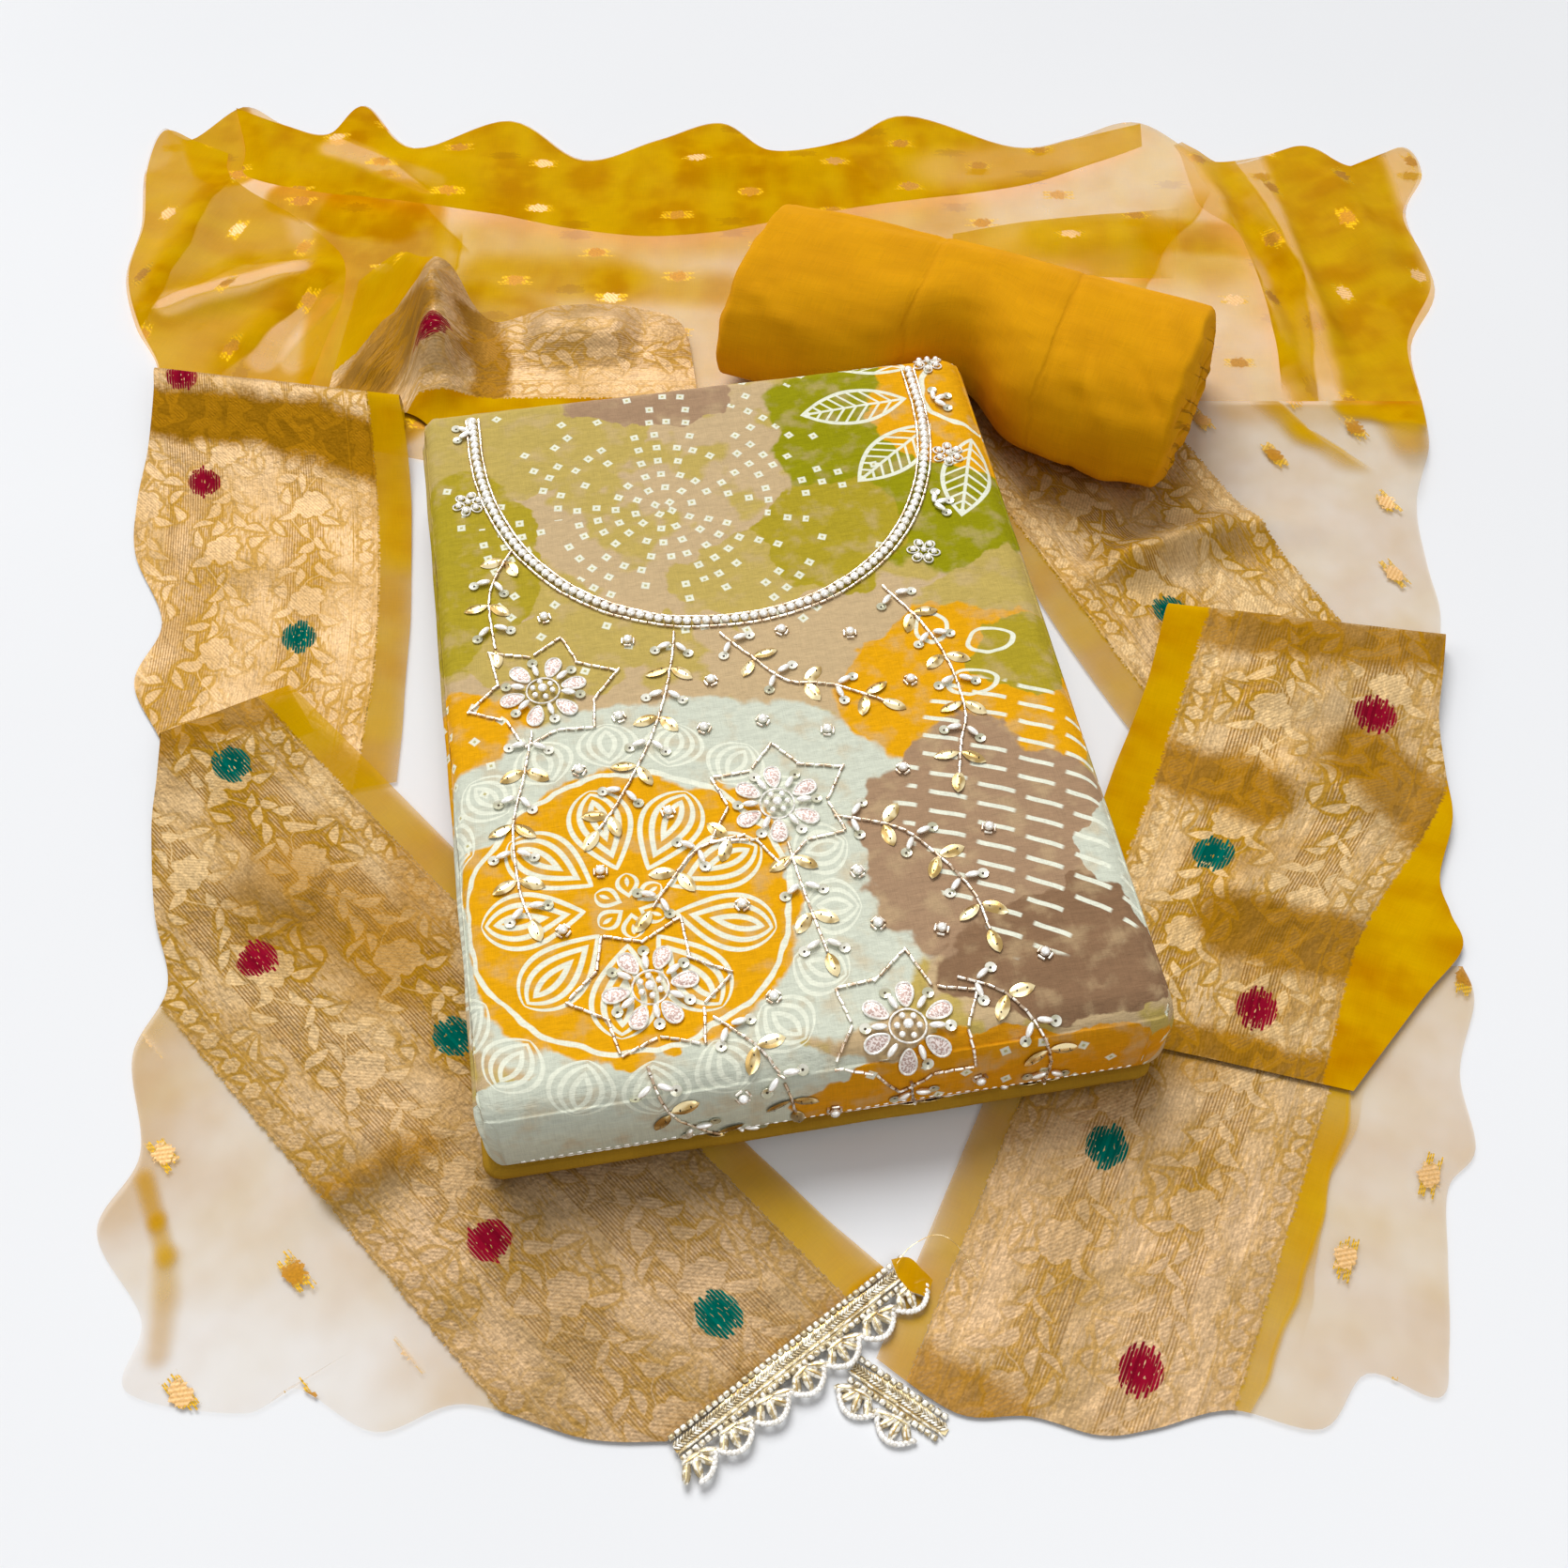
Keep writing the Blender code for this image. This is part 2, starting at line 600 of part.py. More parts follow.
def make_flower(number, spot, material, collection):
    """A bead flower: six petals round a raised middle, moulded to the pack's top."""
    bm = bmesh.new()
    ring = bmesh.ops.create_circle(bm, segments=FLOWER_POINTS, radius=1.0)["verts"]
    edges = list(bm.edges)
    rings = [(ring, *FLOWER_RINGS[0])]
    for size, height in FLOWER_RINGS[1:]:
        made = bmesh.ops.extrude_edge_only(bm, edges=edges)["geom"]
        edges = [item for item in made if isinstance(item, bmesh.types.BMEdge)]
        ring = [item for item in made if isinstance(item, bmesh.types.BMVert)]
        rings.append((ring, size, height))
    bmesh.ops.contextual_create(bm, geom=edges)
    for ring, size, height in rings:
        for vert in ring:
            angle = atan2(vert.co.y, vert.co.x)
            petal = 1 - PETAL_NOTCH * (1 - abs(cos(FLOWER_PETALS / 2 * angle)) ** 0.7)
            reach = FLOWER_RADIUS * size * (petal if size > 0.5 else 1.0)
            angle += radians(spot.turn)
            vert.co = on_pack(spot.x + reach * cos(angle), spot.y + reach * sin(angle), CLEAR + height)
    bmesh.ops.recalc_face_normals(bm, faces=bm.faces)
    face_up(bm)
    part = finish(bm, f"bead_flower_{number}", material, collection)
    give_wall(part, FLOWER_WALL)
    return part


def make_lace(name, line, material, collection):
    """A strip with a scalloped outer edge, sewn along one cut end of the dupatta."""
    length = hypot(line.x1 - line.x0, line.y1 - line.y0)
    ahead = ((line.x1 - line.x0) / length, (line.y1 - line.y0) / length)
    outward = (-ahead[1], ahead[0])
    if outward[1] > 0:
        outward = (-outward[0], -outward[1])
    bm = bmesh.new()
    bmesh.ops.create_grid(bm, x_segments=round(length / LACE_PITCH * LACE_STEPS), y_segments=2, size=1.0)
    for vert in bm.verts:
        run = (vert.co.x + 1) / 2 * length
        side = (vert.co.y + 1) / 2
        scallop = LACE_BAND + LACE_SCALLOP * abs(sin(pi * run / LACE_PITCH)) ** 0.6
        reach = (0.0, LACE_BAND, scallop)[round(side * 2)]
        reach = max(reach, side * (LACE_BAND + LACE_NOTCH)) + line.start
        x = line.x0 + ahead[0] * run + outward[0] * reach
        y = line.y0 + ahead[1] * run + outward[1] * reach
        vert.co = to_set(x, y, line.top)
    face_up(bm)
    part = finish(bm, name, material, collection)
    give_wall(part, LACE_THICK)
    return part


def clear_scene():
    for item in list(bpy.data.objects):
        bpy.data.objects.remove(item, do_unlink=True)


def build():
    clear_scene()
    suit = bpy.data.collections.new("salwar_kameez_suit")
    bpy.context.scene.collection.children.link(suit)

    print_cotton = cloth_material("printed_cotton", (0.55, 0.36, 0.10), 0.85)
    lining = cloth_material("plain_lining", (0.45, 0.33, 0.14), 0.9)
    salwar = cloth_material("salwar_cotton", (0.60, 0.26, 0.01), 0.85)
    pearl = cloth_material("pearl_trim", (0.85, 0.80, 0.70), 0.3)
    petal = cloth_material("petal_mesh", (0.80, 0.72, 0.66), 0.45, 0.3)
    zari = cloth_material("zari_border", (0.62, 0.40, 0.16), 0.4, 0.4)
    organza = cloth_material("organza", (0.70, 0.42, 0.05), 0.5)
    lace = cloth_material("silver_lace", (0.80, 0.76, 0.64), 0.4, 0.4)

    make_pack(print_cotton, suit)
    make_lining(lining, suit)
    make_bundle(salwar, suit)
    make_neck_trim(pearl, suit)
    for number, spot in enumerate(FLOWERS, start=1):
        make_flower(number, spot, petal, suit)

    make_sheet("dupatta_back", BACK_ROWS, (), 2, 4, organza, suit)
    make_sheet("dupatta_back_band", BAND_ROWS, BAND_FOLDS, 3, 4, organza, suit)
    make_sheet("dupatta_left_fold", LEFT_FOLD_ROWS, LEFT_FOLD_FOLDS, 2, 7, organza, suit)
    make_sheet("dupatta_top_gather", GATHER_ROWS, GATHER_FOLDS, 2, 8, zari, suit)
    make_sheet("dupatta_short_fold", SHORT_FOLD_ROWS, SHORT_FOLD_FOLDS, 2, 4, organza, suit)
    make_sheet("dupatta_right_pleats", PLEAT_ROWS, PLEAT_FOLDS, 2, 9, organza, suit)
    make_sheet("dupatta_right_upper", RIGHT_UPPER_ROWS, RIGHT_UPPER_FOLDS, 3, 12, zari, suit)
    make_sheet("dupatta_right_middle", RIGHT_MIDDLE_ROWS, RIGHT_MIDDLE_FOLDS, 2, 7, zari, suit)
    make_sheet("dupatta_right_lower", RIGHT_LOWER_ROWS, (), 2, 4, zari, suit)
    make_sheet("dupatta_left_upper", LEFT_UPPER_ROWS, LEFT_UPPER_FOLDS, 2, 6, zari, suit)
    make_sheet("dupatta_left_lower", LEFT_LOWER_ROWS, LEFT_LOWER_FOLDS, 2, 8, zari, suit)
    make_lace("lace_left", LACE_LEFT, lace, suit)
    make_lace("lace_right", LACE_RIGHT, lace, suit)


build()
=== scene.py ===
# %% [markdown]
# # A salwar kameez suit, laid out flat
#
# The set has three cloths. The kameez is a printed cotton piece, folded into a thick pack with its
# bead embroidery on top. The salwar is plain cotton, folded and rolled behind it. The dupatta is a
# long organza scarf with wide woven zari borders, laid round both in a horseshoe, and its two cut
# ends meet at the front with silver lace on them.
#
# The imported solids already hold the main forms. This script lays finer cloth on the same forms,
# gives each cloth its weave, print or weft figures, and sews the beads and the lace on.

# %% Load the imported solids
from collections import namedtuple
from functools import reduce
from math import atan2, cos, exp, hypot, pi, radians, sin, tau
from random import Random

import bmesh
import bpy
from mathutils import Matrix, Vector, noise
from mathutils.bvhtree import BVHTree


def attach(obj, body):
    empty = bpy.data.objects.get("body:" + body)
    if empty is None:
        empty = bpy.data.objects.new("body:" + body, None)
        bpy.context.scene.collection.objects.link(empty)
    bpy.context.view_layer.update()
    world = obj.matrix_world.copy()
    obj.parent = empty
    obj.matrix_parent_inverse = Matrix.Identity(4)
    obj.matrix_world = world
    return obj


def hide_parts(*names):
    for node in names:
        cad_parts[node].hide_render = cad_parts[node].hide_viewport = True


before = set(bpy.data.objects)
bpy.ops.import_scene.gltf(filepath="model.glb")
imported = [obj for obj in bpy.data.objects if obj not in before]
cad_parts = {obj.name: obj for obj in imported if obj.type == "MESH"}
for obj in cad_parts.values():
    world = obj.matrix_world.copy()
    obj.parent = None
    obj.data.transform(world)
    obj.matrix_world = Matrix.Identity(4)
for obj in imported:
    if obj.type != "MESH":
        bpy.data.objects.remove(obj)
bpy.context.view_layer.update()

print("nodes:", len(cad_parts))

# %% [markdown]
# ## Camera, floor and light
#
# The set is seen from the front and well above, as one stands over a table. A 41 mm lens some
# 70 cm off keeps the near edge wider than the far one. A wide soft light from behind and above
# gives the shadows at the front of each fold, evenly over the whole set, and two weak lamps fill
# them. Standard colour management is chosen over AgX, which would grey the mustard.

# %% Camera
MM = 0.001
EYE = Vector((0.0008, -0.5251, 0.5970))
AIM = Vector((0.0008, -0.0970, 0.0))
LENS_MM = 40.96
SENSOR_MM = 36.0
NEAREST_SEEN = 0.01

scene = bpy.context.scene
camera = bpy.data.objects.new("camera", bpy.data.cameras.new("camera"))
camera.data.lens = LENS_MM
camera.data.sensor_width = SENSOR_MM
camera.data.clip_start = NEAREST_SEEN
camera.location = EYE
camera.rotation_euler = (AIM - EYE).to_track_quat("-Z", "Y").to_euler()
scene.collection.objects.link(camera)
scene.camera = camera
scene.view_settings.view_transform = "Standard"
print("camera is", round((AIM - EYE).length, 3), "m from the cloth")

# %% Lamps
Lamp = namedtuple("Lamp", "name kind place size power")
LAMPS = (
    Lamp("window_behind", "SUN", (-0.25, 1.1, 1.3), radians(36), 2.6),
    Lamp("lamp_left", "AREA", (-1.3, 0.2, 1.2), 1.0, 5.0),
    Lamp("lamp_front", "AREA", (0.9, -1.3, 1.5), 1.2, 8.0),
)
for lamp in LAMPS:
    light = bpy.data.lights.new(lamp.name, lamp.kind)
    if lamp.kind == "SUN":
        light.angle = lamp.size
    else:
        light.size = lamp.size
    light.energy = lamp.power
    holder = bpy.data.objects.new(lamp.name, light)
    holder.location = lamp.place
    holder.rotation_euler = (-Vector(lamp.place)).to_track_quat("-Z", "Y").to_euler()
    scene.collection.objects.link(holder)
print("lamps:", [lamp.name for lamp in LAMPS])

# %% [markdown]
# ## White screens
#
# Pearls and foil look like what stands round them. A studio sets white screens round the table,
# which show in anything shiny and hardly light the cloth. In the world's nodes, Light Path tells
# a ray that left a glossy surface from the others, so it can meet a brighter room.

# %% The room
SCREENS_SEEN = 0.75
ROOM_LIGHT = 0.20
WHITE = (1.0, 1.0, 1.0, 1.0)

world = bpy.data.worlds.new("studio")
world.use_nodes = True
tree = world.node_tree
rays = tree.nodes.new("ShaderNodeLightPath")
room = tree.nodes.new("ShaderNodeMath")
room.operation = "MULTIPLY_ADD"
room.inputs[1].default_value = SCREENS_SEEN
room.inputs[2].default_value = ROOM_LIGHT
tree.nodes["Background"].inputs["Color"].default_value = WHITE
tree.links.new(rays.outputs["Is Glossy Ray"], room.inputs[0])
tree.links.new(room.outputs[0], tree.nodes["Background"].inputs["Strength"])
scene.world = world
print("room:", ROOM_LIGHT, "for cloth,", ROOM_LIGHT + SCREENS_SEEN, "in shiny things")

# %% [markdown]
# ## A short way to write materials
#
# A shader is arithmetic on sockets, and drawn by hand it soon fills the screen. The class below
# wraps one socket, so that `1 - mask * 0.5` adds the Math nodes by itself. Finish holds one
# material, with a method for any other node and a few for the ones that cloth needs often.

# %% Sockets that do arithmetic
def arithmetic(operation, swapped=False):
    """A method that adds one Math node for one of Python's operators."""
    def method(self, other):
        values = (other, self) if swapped else (self, other)
        return self.finish.math(operation, *values)
    return method


class Value:
    """One socket of a material, on which Python's arithmetic adds Math nodes."""

    def __init__(self, finish, socket):
        self.finish = finish
        self.socket = socket

    def __abs__(self):
        return self.finish.math("ABSOLUTE", self)

    __add__ = __radd__ = arithmetic("ADD")
    __mul__ = __rmul__ = arithmetic("MULTIPLY")
    __sub__ = arithmetic("SUBTRACT")
    __rsub__ = arithmetic("SUBTRACT", swapped=True)
    __truediv__ = arithmetic("DIVIDE")
    __pow__ = arithmetic("POWER")
    __gt__ = arithmetic("GREATER_THAN")
    __lt__ = arithmetic("LESS_THAN")


# %% A material and its nodes
class Finish:
    """A material whose nodes are added by short calls."""

    def __init__(self, name):
        self.material = bpy.data.materials.new(name)
        self.material.use_nodes = True
        self.tree = self.material.node_tree
        self.surface = self.tree.nodes["Principled BSDF"]

    def feed(self, socket, value):
        if isinstance(value, Value):
            self.tree.links.new(value.socket, socket)
        elif isinstance(value, tuple) and socket.type == "RGBA":
            socket.default_value = (*value, 1.0)
        else:
            socket.default_value = value

    def node(self, kind, settings, inputs, output=0):
        made = self.tree.nodes.new(kind)
        for name, value in settings.items():
            setattr(made, name, value)
        for name, value in inputs.items():
            self.feed(made.inputs[name], value)
        return Value(self, made.outputs[output])

    def math(self, operation, *values):
        return self.node("ShaderNodeMath", {"operation": operation}, dict(enumerate(values)))

    def least(self, first, second):
        return self.math("MINIMUM", first, second)

    def most(self, first, second):
        return self.math("MAXIMUM", first, second)

    def sine(self, value):
        return self.math("SINE", value)

    def part(self, value):
        return self.math("FRACT", value)

    def whole(self, value):
        return self.math("FLOOR", value)

    def length(self, x, y):
        return self.math("SQRT", x * x + y * y)

    def soft(self, value, low, high):
        """0 at low and 1 at high, with a smooth step between."""
        limits = {"Value": value, "From Min": low, "From Max": high}
        return self.node("ShaderNodeMapRange", {"interpolation_type": "SMOOTHSTEP"}, limits)

    def mix(self, share, first, second, blend="MIX"):
        settings = {"data_type": "RGBA", "blend_type": blend}
        return self.node("ShaderNodeMix", settings, {0: share, 6: first, 7: second}, 2)

    def shade(self, colour, share):
        return self.mix(1.0, colour, share, "MULTIPLY")

    def split(self, vector):
        """A vector's x, y and z."""
        made = self.node("ShaderNodeSeparateXYZ", {}, {0: vector})
        return [Value(self, output) for output in made.socket.node.outputs]

    def cut(self):
        """The cloth's own place on its flat cut, in millimetres: (u, v)."""
        u, v = self.split(self.node("ShaderNodeUVMap", {"uv_map": "cut"}, {}))[:2]
        return u * 1000, v * 1000

    def place(self):
        """The place on the object, in metres: (x, y, z)."""
        return self.split(self.node("ShaderNodeTexCoord", {}, {}, "Object"))

    def vector(self, x, y, z=0.0):
        return self.node("ShaderNodeCombineXYZ", {}, {0: x, 1: y, 2: z})

    def noise(self, x, y, scale=1.0, detail=2.0):
        """Noise from 0 to 1 whose clumps are about 1 / scale across."""
        inputs = {"Vector": self.vector(x, y), "Scale": scale, "Detail": detail}
        return self.node("ShaderNodeTexNoise", {"noise_dimensions": "3D"}, inputs)

    def chance(self, value):
        """One random number for each whole value."""
        return self.node("ShaderNodeTexWhiteNoise", {"noise_dimensions": "1D"}, {"W": value})

    def raised(self, height, distance, strength=1.0):
        """Bump of so many millimetres, feeding the surface's Normal."""
        inputs = {"Height": height, "Distance": distance * MM, "Strength": strength}
        self.set(Normal=self.node("ShaderNodeBump", {}, inputs))

    def set(self, **values):
        for name, value in values.items():
            self.feed(self.surface.inputs[name.replace("_", " ")], value)
        return self.material


def rgb(red, green, blue):
    """A colour as seen on a screen, 0 to 255, as the numbers that a shader takes."""
    return tuple(
        share / 12.92 if share <= 0.04045 else ((share + 0.055) / 1.055) ** 2.4
        for share in (red / 255, green / 255, blue / 255)
    )


print("mustard is", [round(share, 3) for share in rgb(205, 155, 10)])

# %% [markdown]
# ## The table
#
# The set lies on a plain pale cloth. A large flat sheet under everything is enough, with a faint
# mottle so that it isn't one dead colour. It is stage, not part of the set.

# %% Floor
FLOOR_REACH = 4.0
pale = Finish("pale_table")
x, y = pale.place()[:2]
mottle = pale.noise(x, y, 3.0)
pale.set(Base_Color=pale.mix(mottle, (0.82, 0.83, 0.85), (0.87, 0.88, 0.90)), Roughness=0.9)

bm = bmesh.new()
bmesh.ops.create_grid(bm, x_segments=2, y_segments=2, size=FLOOR_REACH)
floor_mesh = bpy.data.meshes.new("table")
bm.to_mesh(floor_mesh)
bm.free()
floor_mesh.materials.append(pale.material)
floor = bpy.data.objects.new("table", floor_mesh)
scene.collection.objects.link(floor)
print("table:", len(floor_mesh.polygons), "faces")

# %% [markdown]
# ## How the cloth is laid
#
# The dupatta is one long scarf, folded and turned so often that no simulation would land its folds
# where they belong. So each stretch that shows is laid one by one: a short table of rows says
# where the cloth's inner and outer ends are and how high it lies, a smooth curve runs through the
# rows, and a grid is draped along it. The solids were made from the same rows. Here the grid is
# finer, and fine ripples and creases are added to it.

# %% Rows, folds and the curve through them
Row = namedtuple("Row", "inner_x inner_y inner_z outer_x outer_y outer_z")
Fold = namedtuple("Fold", "x0 y0 x1 y1 height width")
SET_CENTRE = (10.44, 76.9)
CLOTH = 1.2
PITCH = 1.5
FLAT = CLOTH
OVER_1 = CLOTH + PITCH
FOLD_END = 0.35
BROAD_RIPPLE = (34, 27)
FINE_RIPPLE = (11, 13)


def to_set(x, y, z):
    """A place in the layout's millimetres, in metres about the middle of the set."""
    return Vector((x - SET_CENTRE[0], y - SET_CENTRE[1], z)) * MM


def turned(x, y, angle, centre=(0.0, 0.0)):
    return (
        centre[0] + x * cos(angle) - y * sin(angle),
        centre[1] + x * sin(angle) + y * cos(angle),
    )


def ease(value):
    value = min(max(value, 0.0), 1.0)
    return value * value * (3 - 2 * value)


def curve_through(rows, place):
    """Catmull-Rom value of a table of equal tuples at a fractional row number."""
    first = min(int(place), len(rows) - 2)
    t = place - first
    before = rows[max(first - 1, 0)]
    start = rows[first]
    end = rows[first + 1]
    after = rows[min(first + 2, len(rows) - 1)]
    return [
        0.5 * (2 * b + (c - a) * t + (2 * a - 5 * b + 4 * c - d) * t * t
               + (3 * b - a - 3 * c + d) * t ** 3)
        for a, b, c, d in zip(before, start, end, after)
    ]


def fold_height(x, y, folds):
    """How far soft ridges and troughs move the cloth at one place."""
    total = 0.0
    for fold in folds:
        run_x = fold.x1 - fold.x0
        run_y = fold.y1 - fold.y0
        share = ((x - fold.x0) * run_x + (y - fold.y0) * run_y) / (run_x ** 2 + run_y ** 2)
        held = min(max(share, 0.0), 1.0)
        away = hypot(x - fold.x0 - held * run_x, y - fold.y0 - held * run_y)
        taper = FOLD_END + (1 - FOLD_END) * ease(4 * held) * ease(4 - 4 * held)
        total += fold.height * taper * exp(-(away / fold.width) ** 2)
    return total


def flat_rows(*ends):
    """Rows that lie on the table, each from its inner end's x and y and its outer end's."""
    return [Row(x0, y0, FLAT, x1, y1, FLAT) for x0, y0, x1, y1 in ends]


def ripple(x, y, height):
    """Small uneven lifts of thin cloth, never downwards, alike in cloths that lie on each other."""
    broad = noise.noise(Vector((x / BROAD_RIPPLE[0], y / BROAD_RIPPLE[1], 0.0)))
    fine = noise.noise(Vector((x / FINE_RIPPLE[0], y / FINE_RIPPLE[1], 5.0)))
    return height * (0.5 + 0.75 * broad + 0.25 * fine)


lifted = fold_height(5, 0, [Fold(0, 0, 10, 0, 3, 5)])
print("a fold 3 mm high lifts its middle by", round(lifted, 2), "mm")

# %% [markdown]
# ## The dupatta's weave
#
# Across its width the scarf has a narrow plain edge, then a border about ten centimetres wide that
# is woven solid with gilt thread, then a sheer body. The border carries boughs of leaves and round
# flowers in a half-drop repeat, a row of small flowers along each side, and round weft dots whose
# ends fray along the thread. The body has small tufted gilt dots. All of it is worked out from u
# and v on the flat cut, so that it bends with the folds.

# %% A figure of the border: one leaf
GILT = rgb(214, 182, 134)
GILT_LOW = rgb(186, 148, 92)
# GILT_PALE and GILT_PALE_LOW are the gilt where painted sheen makes it paler towards the front of
# the set.
GILT_PALE = rgb(214, 180, 138)
GILT_PALE_LOW = rgb(184, 152, 106)
GILT_RIB = rgb(140, 98, 40)
GILT_LEAF = rgb(236, 204, 148)
GAP_MUSTARD = rgb(182, 134, 12)
# The next colour is the gilt painted as if in shade, for the hollows of the folds.
SHADED_GILT = rgb(152, 105, 12)
MUSTARD = rgb(206, 152, 1)
MUSTARD_DEEP = rgb(188, 126, 0)
MUSTARD_LEMON = rgb(214, 168, 2)
CRIMSON = rgb(140, 14, 40)
TEAL = rgb(0, 98, 86)
DOT_GILT = rgb(226, 186, 132)
DOT_WORN = rgb(170, 118, 30)
DOT_TUFT = rgb(204, 158, 12)
GHOST = rgb(172, 116, 8)

Leaf = namedtuple("Leaf", "x y turn length width bend")
CELL_WIDE = 46.0
CELL_LONG = 70.0
EDGE_CELL = 14.0
BOUGH = (
    Leaf(-3, -31, 120, 6.5, 2.6, 1.6),
    Leaf(4, -28, 40, 6.5, 2.8, -1.8),
    Leaf(-7, -22, 150, 6.5, 2.8, 2.0),
    Leaf(7, -18, 62, 7.5, 3.2, -2.4),
    Leaf(-5, -11, 128, 7.5, 3.2, 2.4),
    Leaf(14, -9, 20, 6.5, 2.6, 1.8),
    Leaf(5, -5, 84, 7.0, 2.8, -2.0),
    Leaf(-15, -6, 170, 6.5, 2.8, -2.0),
    Leaf(16, 4, 100, 7.0, 3.0, 2.4),
    Leaf(-16, 5, 60, 6.5, 2.8, 2.2),
    Leaf(-9, 24, 150, 7.0, 3.0, 2.2),
    Leaf(12, 20, 35, 7.0, 3.0, -2.2),
    Leaf(-19, 18, 100, 6.0, 2.4, -1.6),
    Leaf(19, 29, 110, 6.0, 2.4, 1.6),
    Leaf(3, 31, 80, 5.5, 2.6, 1.4),
)
BLOOM = (1.0, 11.0, 8.5)
BLOOM_PETALS = 7


def inside_leaf(f, x, y, leaf):
    """Millimetres inside a pointed leaf with a curved middle, below 0 outside it."""
    turn = radians(leaf.turn)
    ahead = (cos(turn), sin(turn))
    start = -(leaf.x * ahead[0] + leaf.y * ahead[1]) / leaf.length
    aside = leaf.x * ahead[1] - leaf.y * ahead[0]
    slope = (ahead[0] / leaf.length, ahead[1] / leaf.length)
    along = f.math("MULTIPLY_ADD", x, slope[0], y * slope[1] + start)
    across = f.math("MULTIPLY_ADD", y, ahead[0], x * -ahead[1] + aside)
    square = along * along
    return (1 - square) * leaf.width - abs(across - square * leaf.bend)


def inside_bloom(f, x, y, petals, radius):
    """Millimetres inside a round flower with scalloped petals."""
    away = f.length(x, y)
    turn = f.math("ARCTAN2", y, x)
    return radius - away + abs(f.sine(turn * (petals / 2))) * (radius * 0.24)


def woven_figures(f, u, v):
    """How far inside the border's figures a place lies, in millimetres."""
    column = f.whole(u / CELL_WIDE)
    x = f.part(u / CELL_WIDE) * CELL_WIDE - CELL_WIDE / 2
    y = f.part(v / CELL_LONG + column * 0.5) * CELL_LONG - CELL_LONG / 2
    inside = inside_bloom(f, x - BLOOM[0], y - BLOOM[1], BLOOM_PETALS, BLOOM[2])
    inside = f.least(inside, abs(inside - 4.4) + 0.4)
    inside = f.most(inside, 0.6 - abs(x - 2 - f.sine(y * (tau / CELL_LONG)) * 9))
    for leaf in BOUGH:
        inside = f.most(inside, inside_leaf(f, x, y, leaf))
    return inside


def edge_flowers(f, u, v):
    """A row of small flowers with leaves between; u is 0 along the middle of its strip."""
    along = (f.part(v / EDGE_CELL) - 0.5) * EDGE_CELL
    flower = inside_bloom(f, u, along, 6, 3.0)
    flower = f.least(flower, abs(flower - 1.9) + 0.2)
    past = (f.part(v / EDGE_CELL + 0.5) - 0.5) * EDGE_CELL
    return f.most(flower, inside_leaf(f, u, past, Leaf(0, 0, 60, 4.4, 1.7, 1.2)))


print("leaves in a bough:", len(BOUGH))

# %% The scarf's finish
Dot = namedtuple("Dot", "u v colour")
Veil = namedtuple("Veil", "x0 y0 x1 y1 half edge layers")
Crease = namedtuple("Crease", "x0 y0 x1 y1 fade layers")
DOT_RADIUS = 7.8
THREAD = 1.2
TUFT_THREAD = 0.8
RIB = 1.15
BODY_WIDE = 44.0
BODY_LONG = 40.0
STRAY_U = 14
STRAY_V = 17


def layout_place(f):
    """The place on the table in the layout's millimetres: (x, y)."""
    x, y = f.place()[:2]
    return x * 1000 + SET_CENTRE[0], y * 1000 + SET_CENTRE[1]


def along_line(f, x, y, line):
    """Where a place lies by a line, in millimetres: its share along it, and its distance."""
    run = (line.x1 - line.x0, line.y1 - line.y0)
    square = run[0] ** 2 + run[1] ** 2
    start = -(line.x0 * run[0] + line.y0 * run[1]) / square
    share = f.math("MULTIPLY_ADD", x, run[0] / square, y * (run[1] / square) + start)
    share = f.least(f.most(share, 0.0), 1.0)
    return share, f.length(x - line.x0 - share * run[0], y - line.y0 - share * run[1])


def weft_dots(f, u, v, dots):
    """1 on round dots, solid in the middle, whose ends fray along the thread."""
    loose = f.chance(f.whole(u / THREAD)) * 0.42 + 0.76
    nearest = reduce(f.least, (f.length((u - dot.u) * 1.04, (v - dot.v) * loose) for dot in dots))
    between = f.soft(abs(f.part(u / THREAD) - 0.5), 0.30, 0.44)
    frayed = f.soft(nearest, DOT_RADIUS * 0.5, DOT_RADIUS)
    specks = f.soft(f.noise(u / 0.7, v / 2.4, 1.0, 0.0), 0.76, 0.70)
    solid = f.soft(nearest, DOT_RADIUS + 0.4, DOT_RADIUS - 0.2)
    return solid * (1 - between * frayed * 0.8) * specks


def gilt_dots(f, u, v, shift):
    """The body's small dots: a mask of their middles, one of their tufts, and a chance each."""
    row = f.whole(v / BODY_LONG)
    aside = f.part(row * 0.5 + shift)
    column = f.whole(u / BODY_WIDE + aside)
    chance = f.chance(row * 7.3 + column * 3.1 + shift)
    x = (f.part(u / BODY_WIDE + aside) - 0.5) * BODY_WIDE + (chance - 0.5) * STRAY_U
    y = abs((f.part(v / BODY_LONG) - 0.5) * BODY_LONG + (chance - 0.5) * STRAY_V)
    rough = f.noise(u / 2.0, v / 2.0, 1.0, 2.0)
    thread = f.chance(f.whole(u / TUFT_THREAD) + row * 3.7)
    middle = f.soft(f.length(x * 1.05, y * 0.85) + rough * 7.0, 7.8, 7.0)
    long = f.soft(y - thread * 5.0 - chance * 1.5, 3.6, 3.0)
    apart = f.soft(abs(f.part(u / TUFT_THREAD) - 0.5), 0.46, 0.34)
    fray = f.soft(abs(x) + rough * 2.0, 4.6, 3.8) * long * apart
    kept = chance > 0.25 + shift
    return middle * kept, fray * (1 - middle) * kept, chance


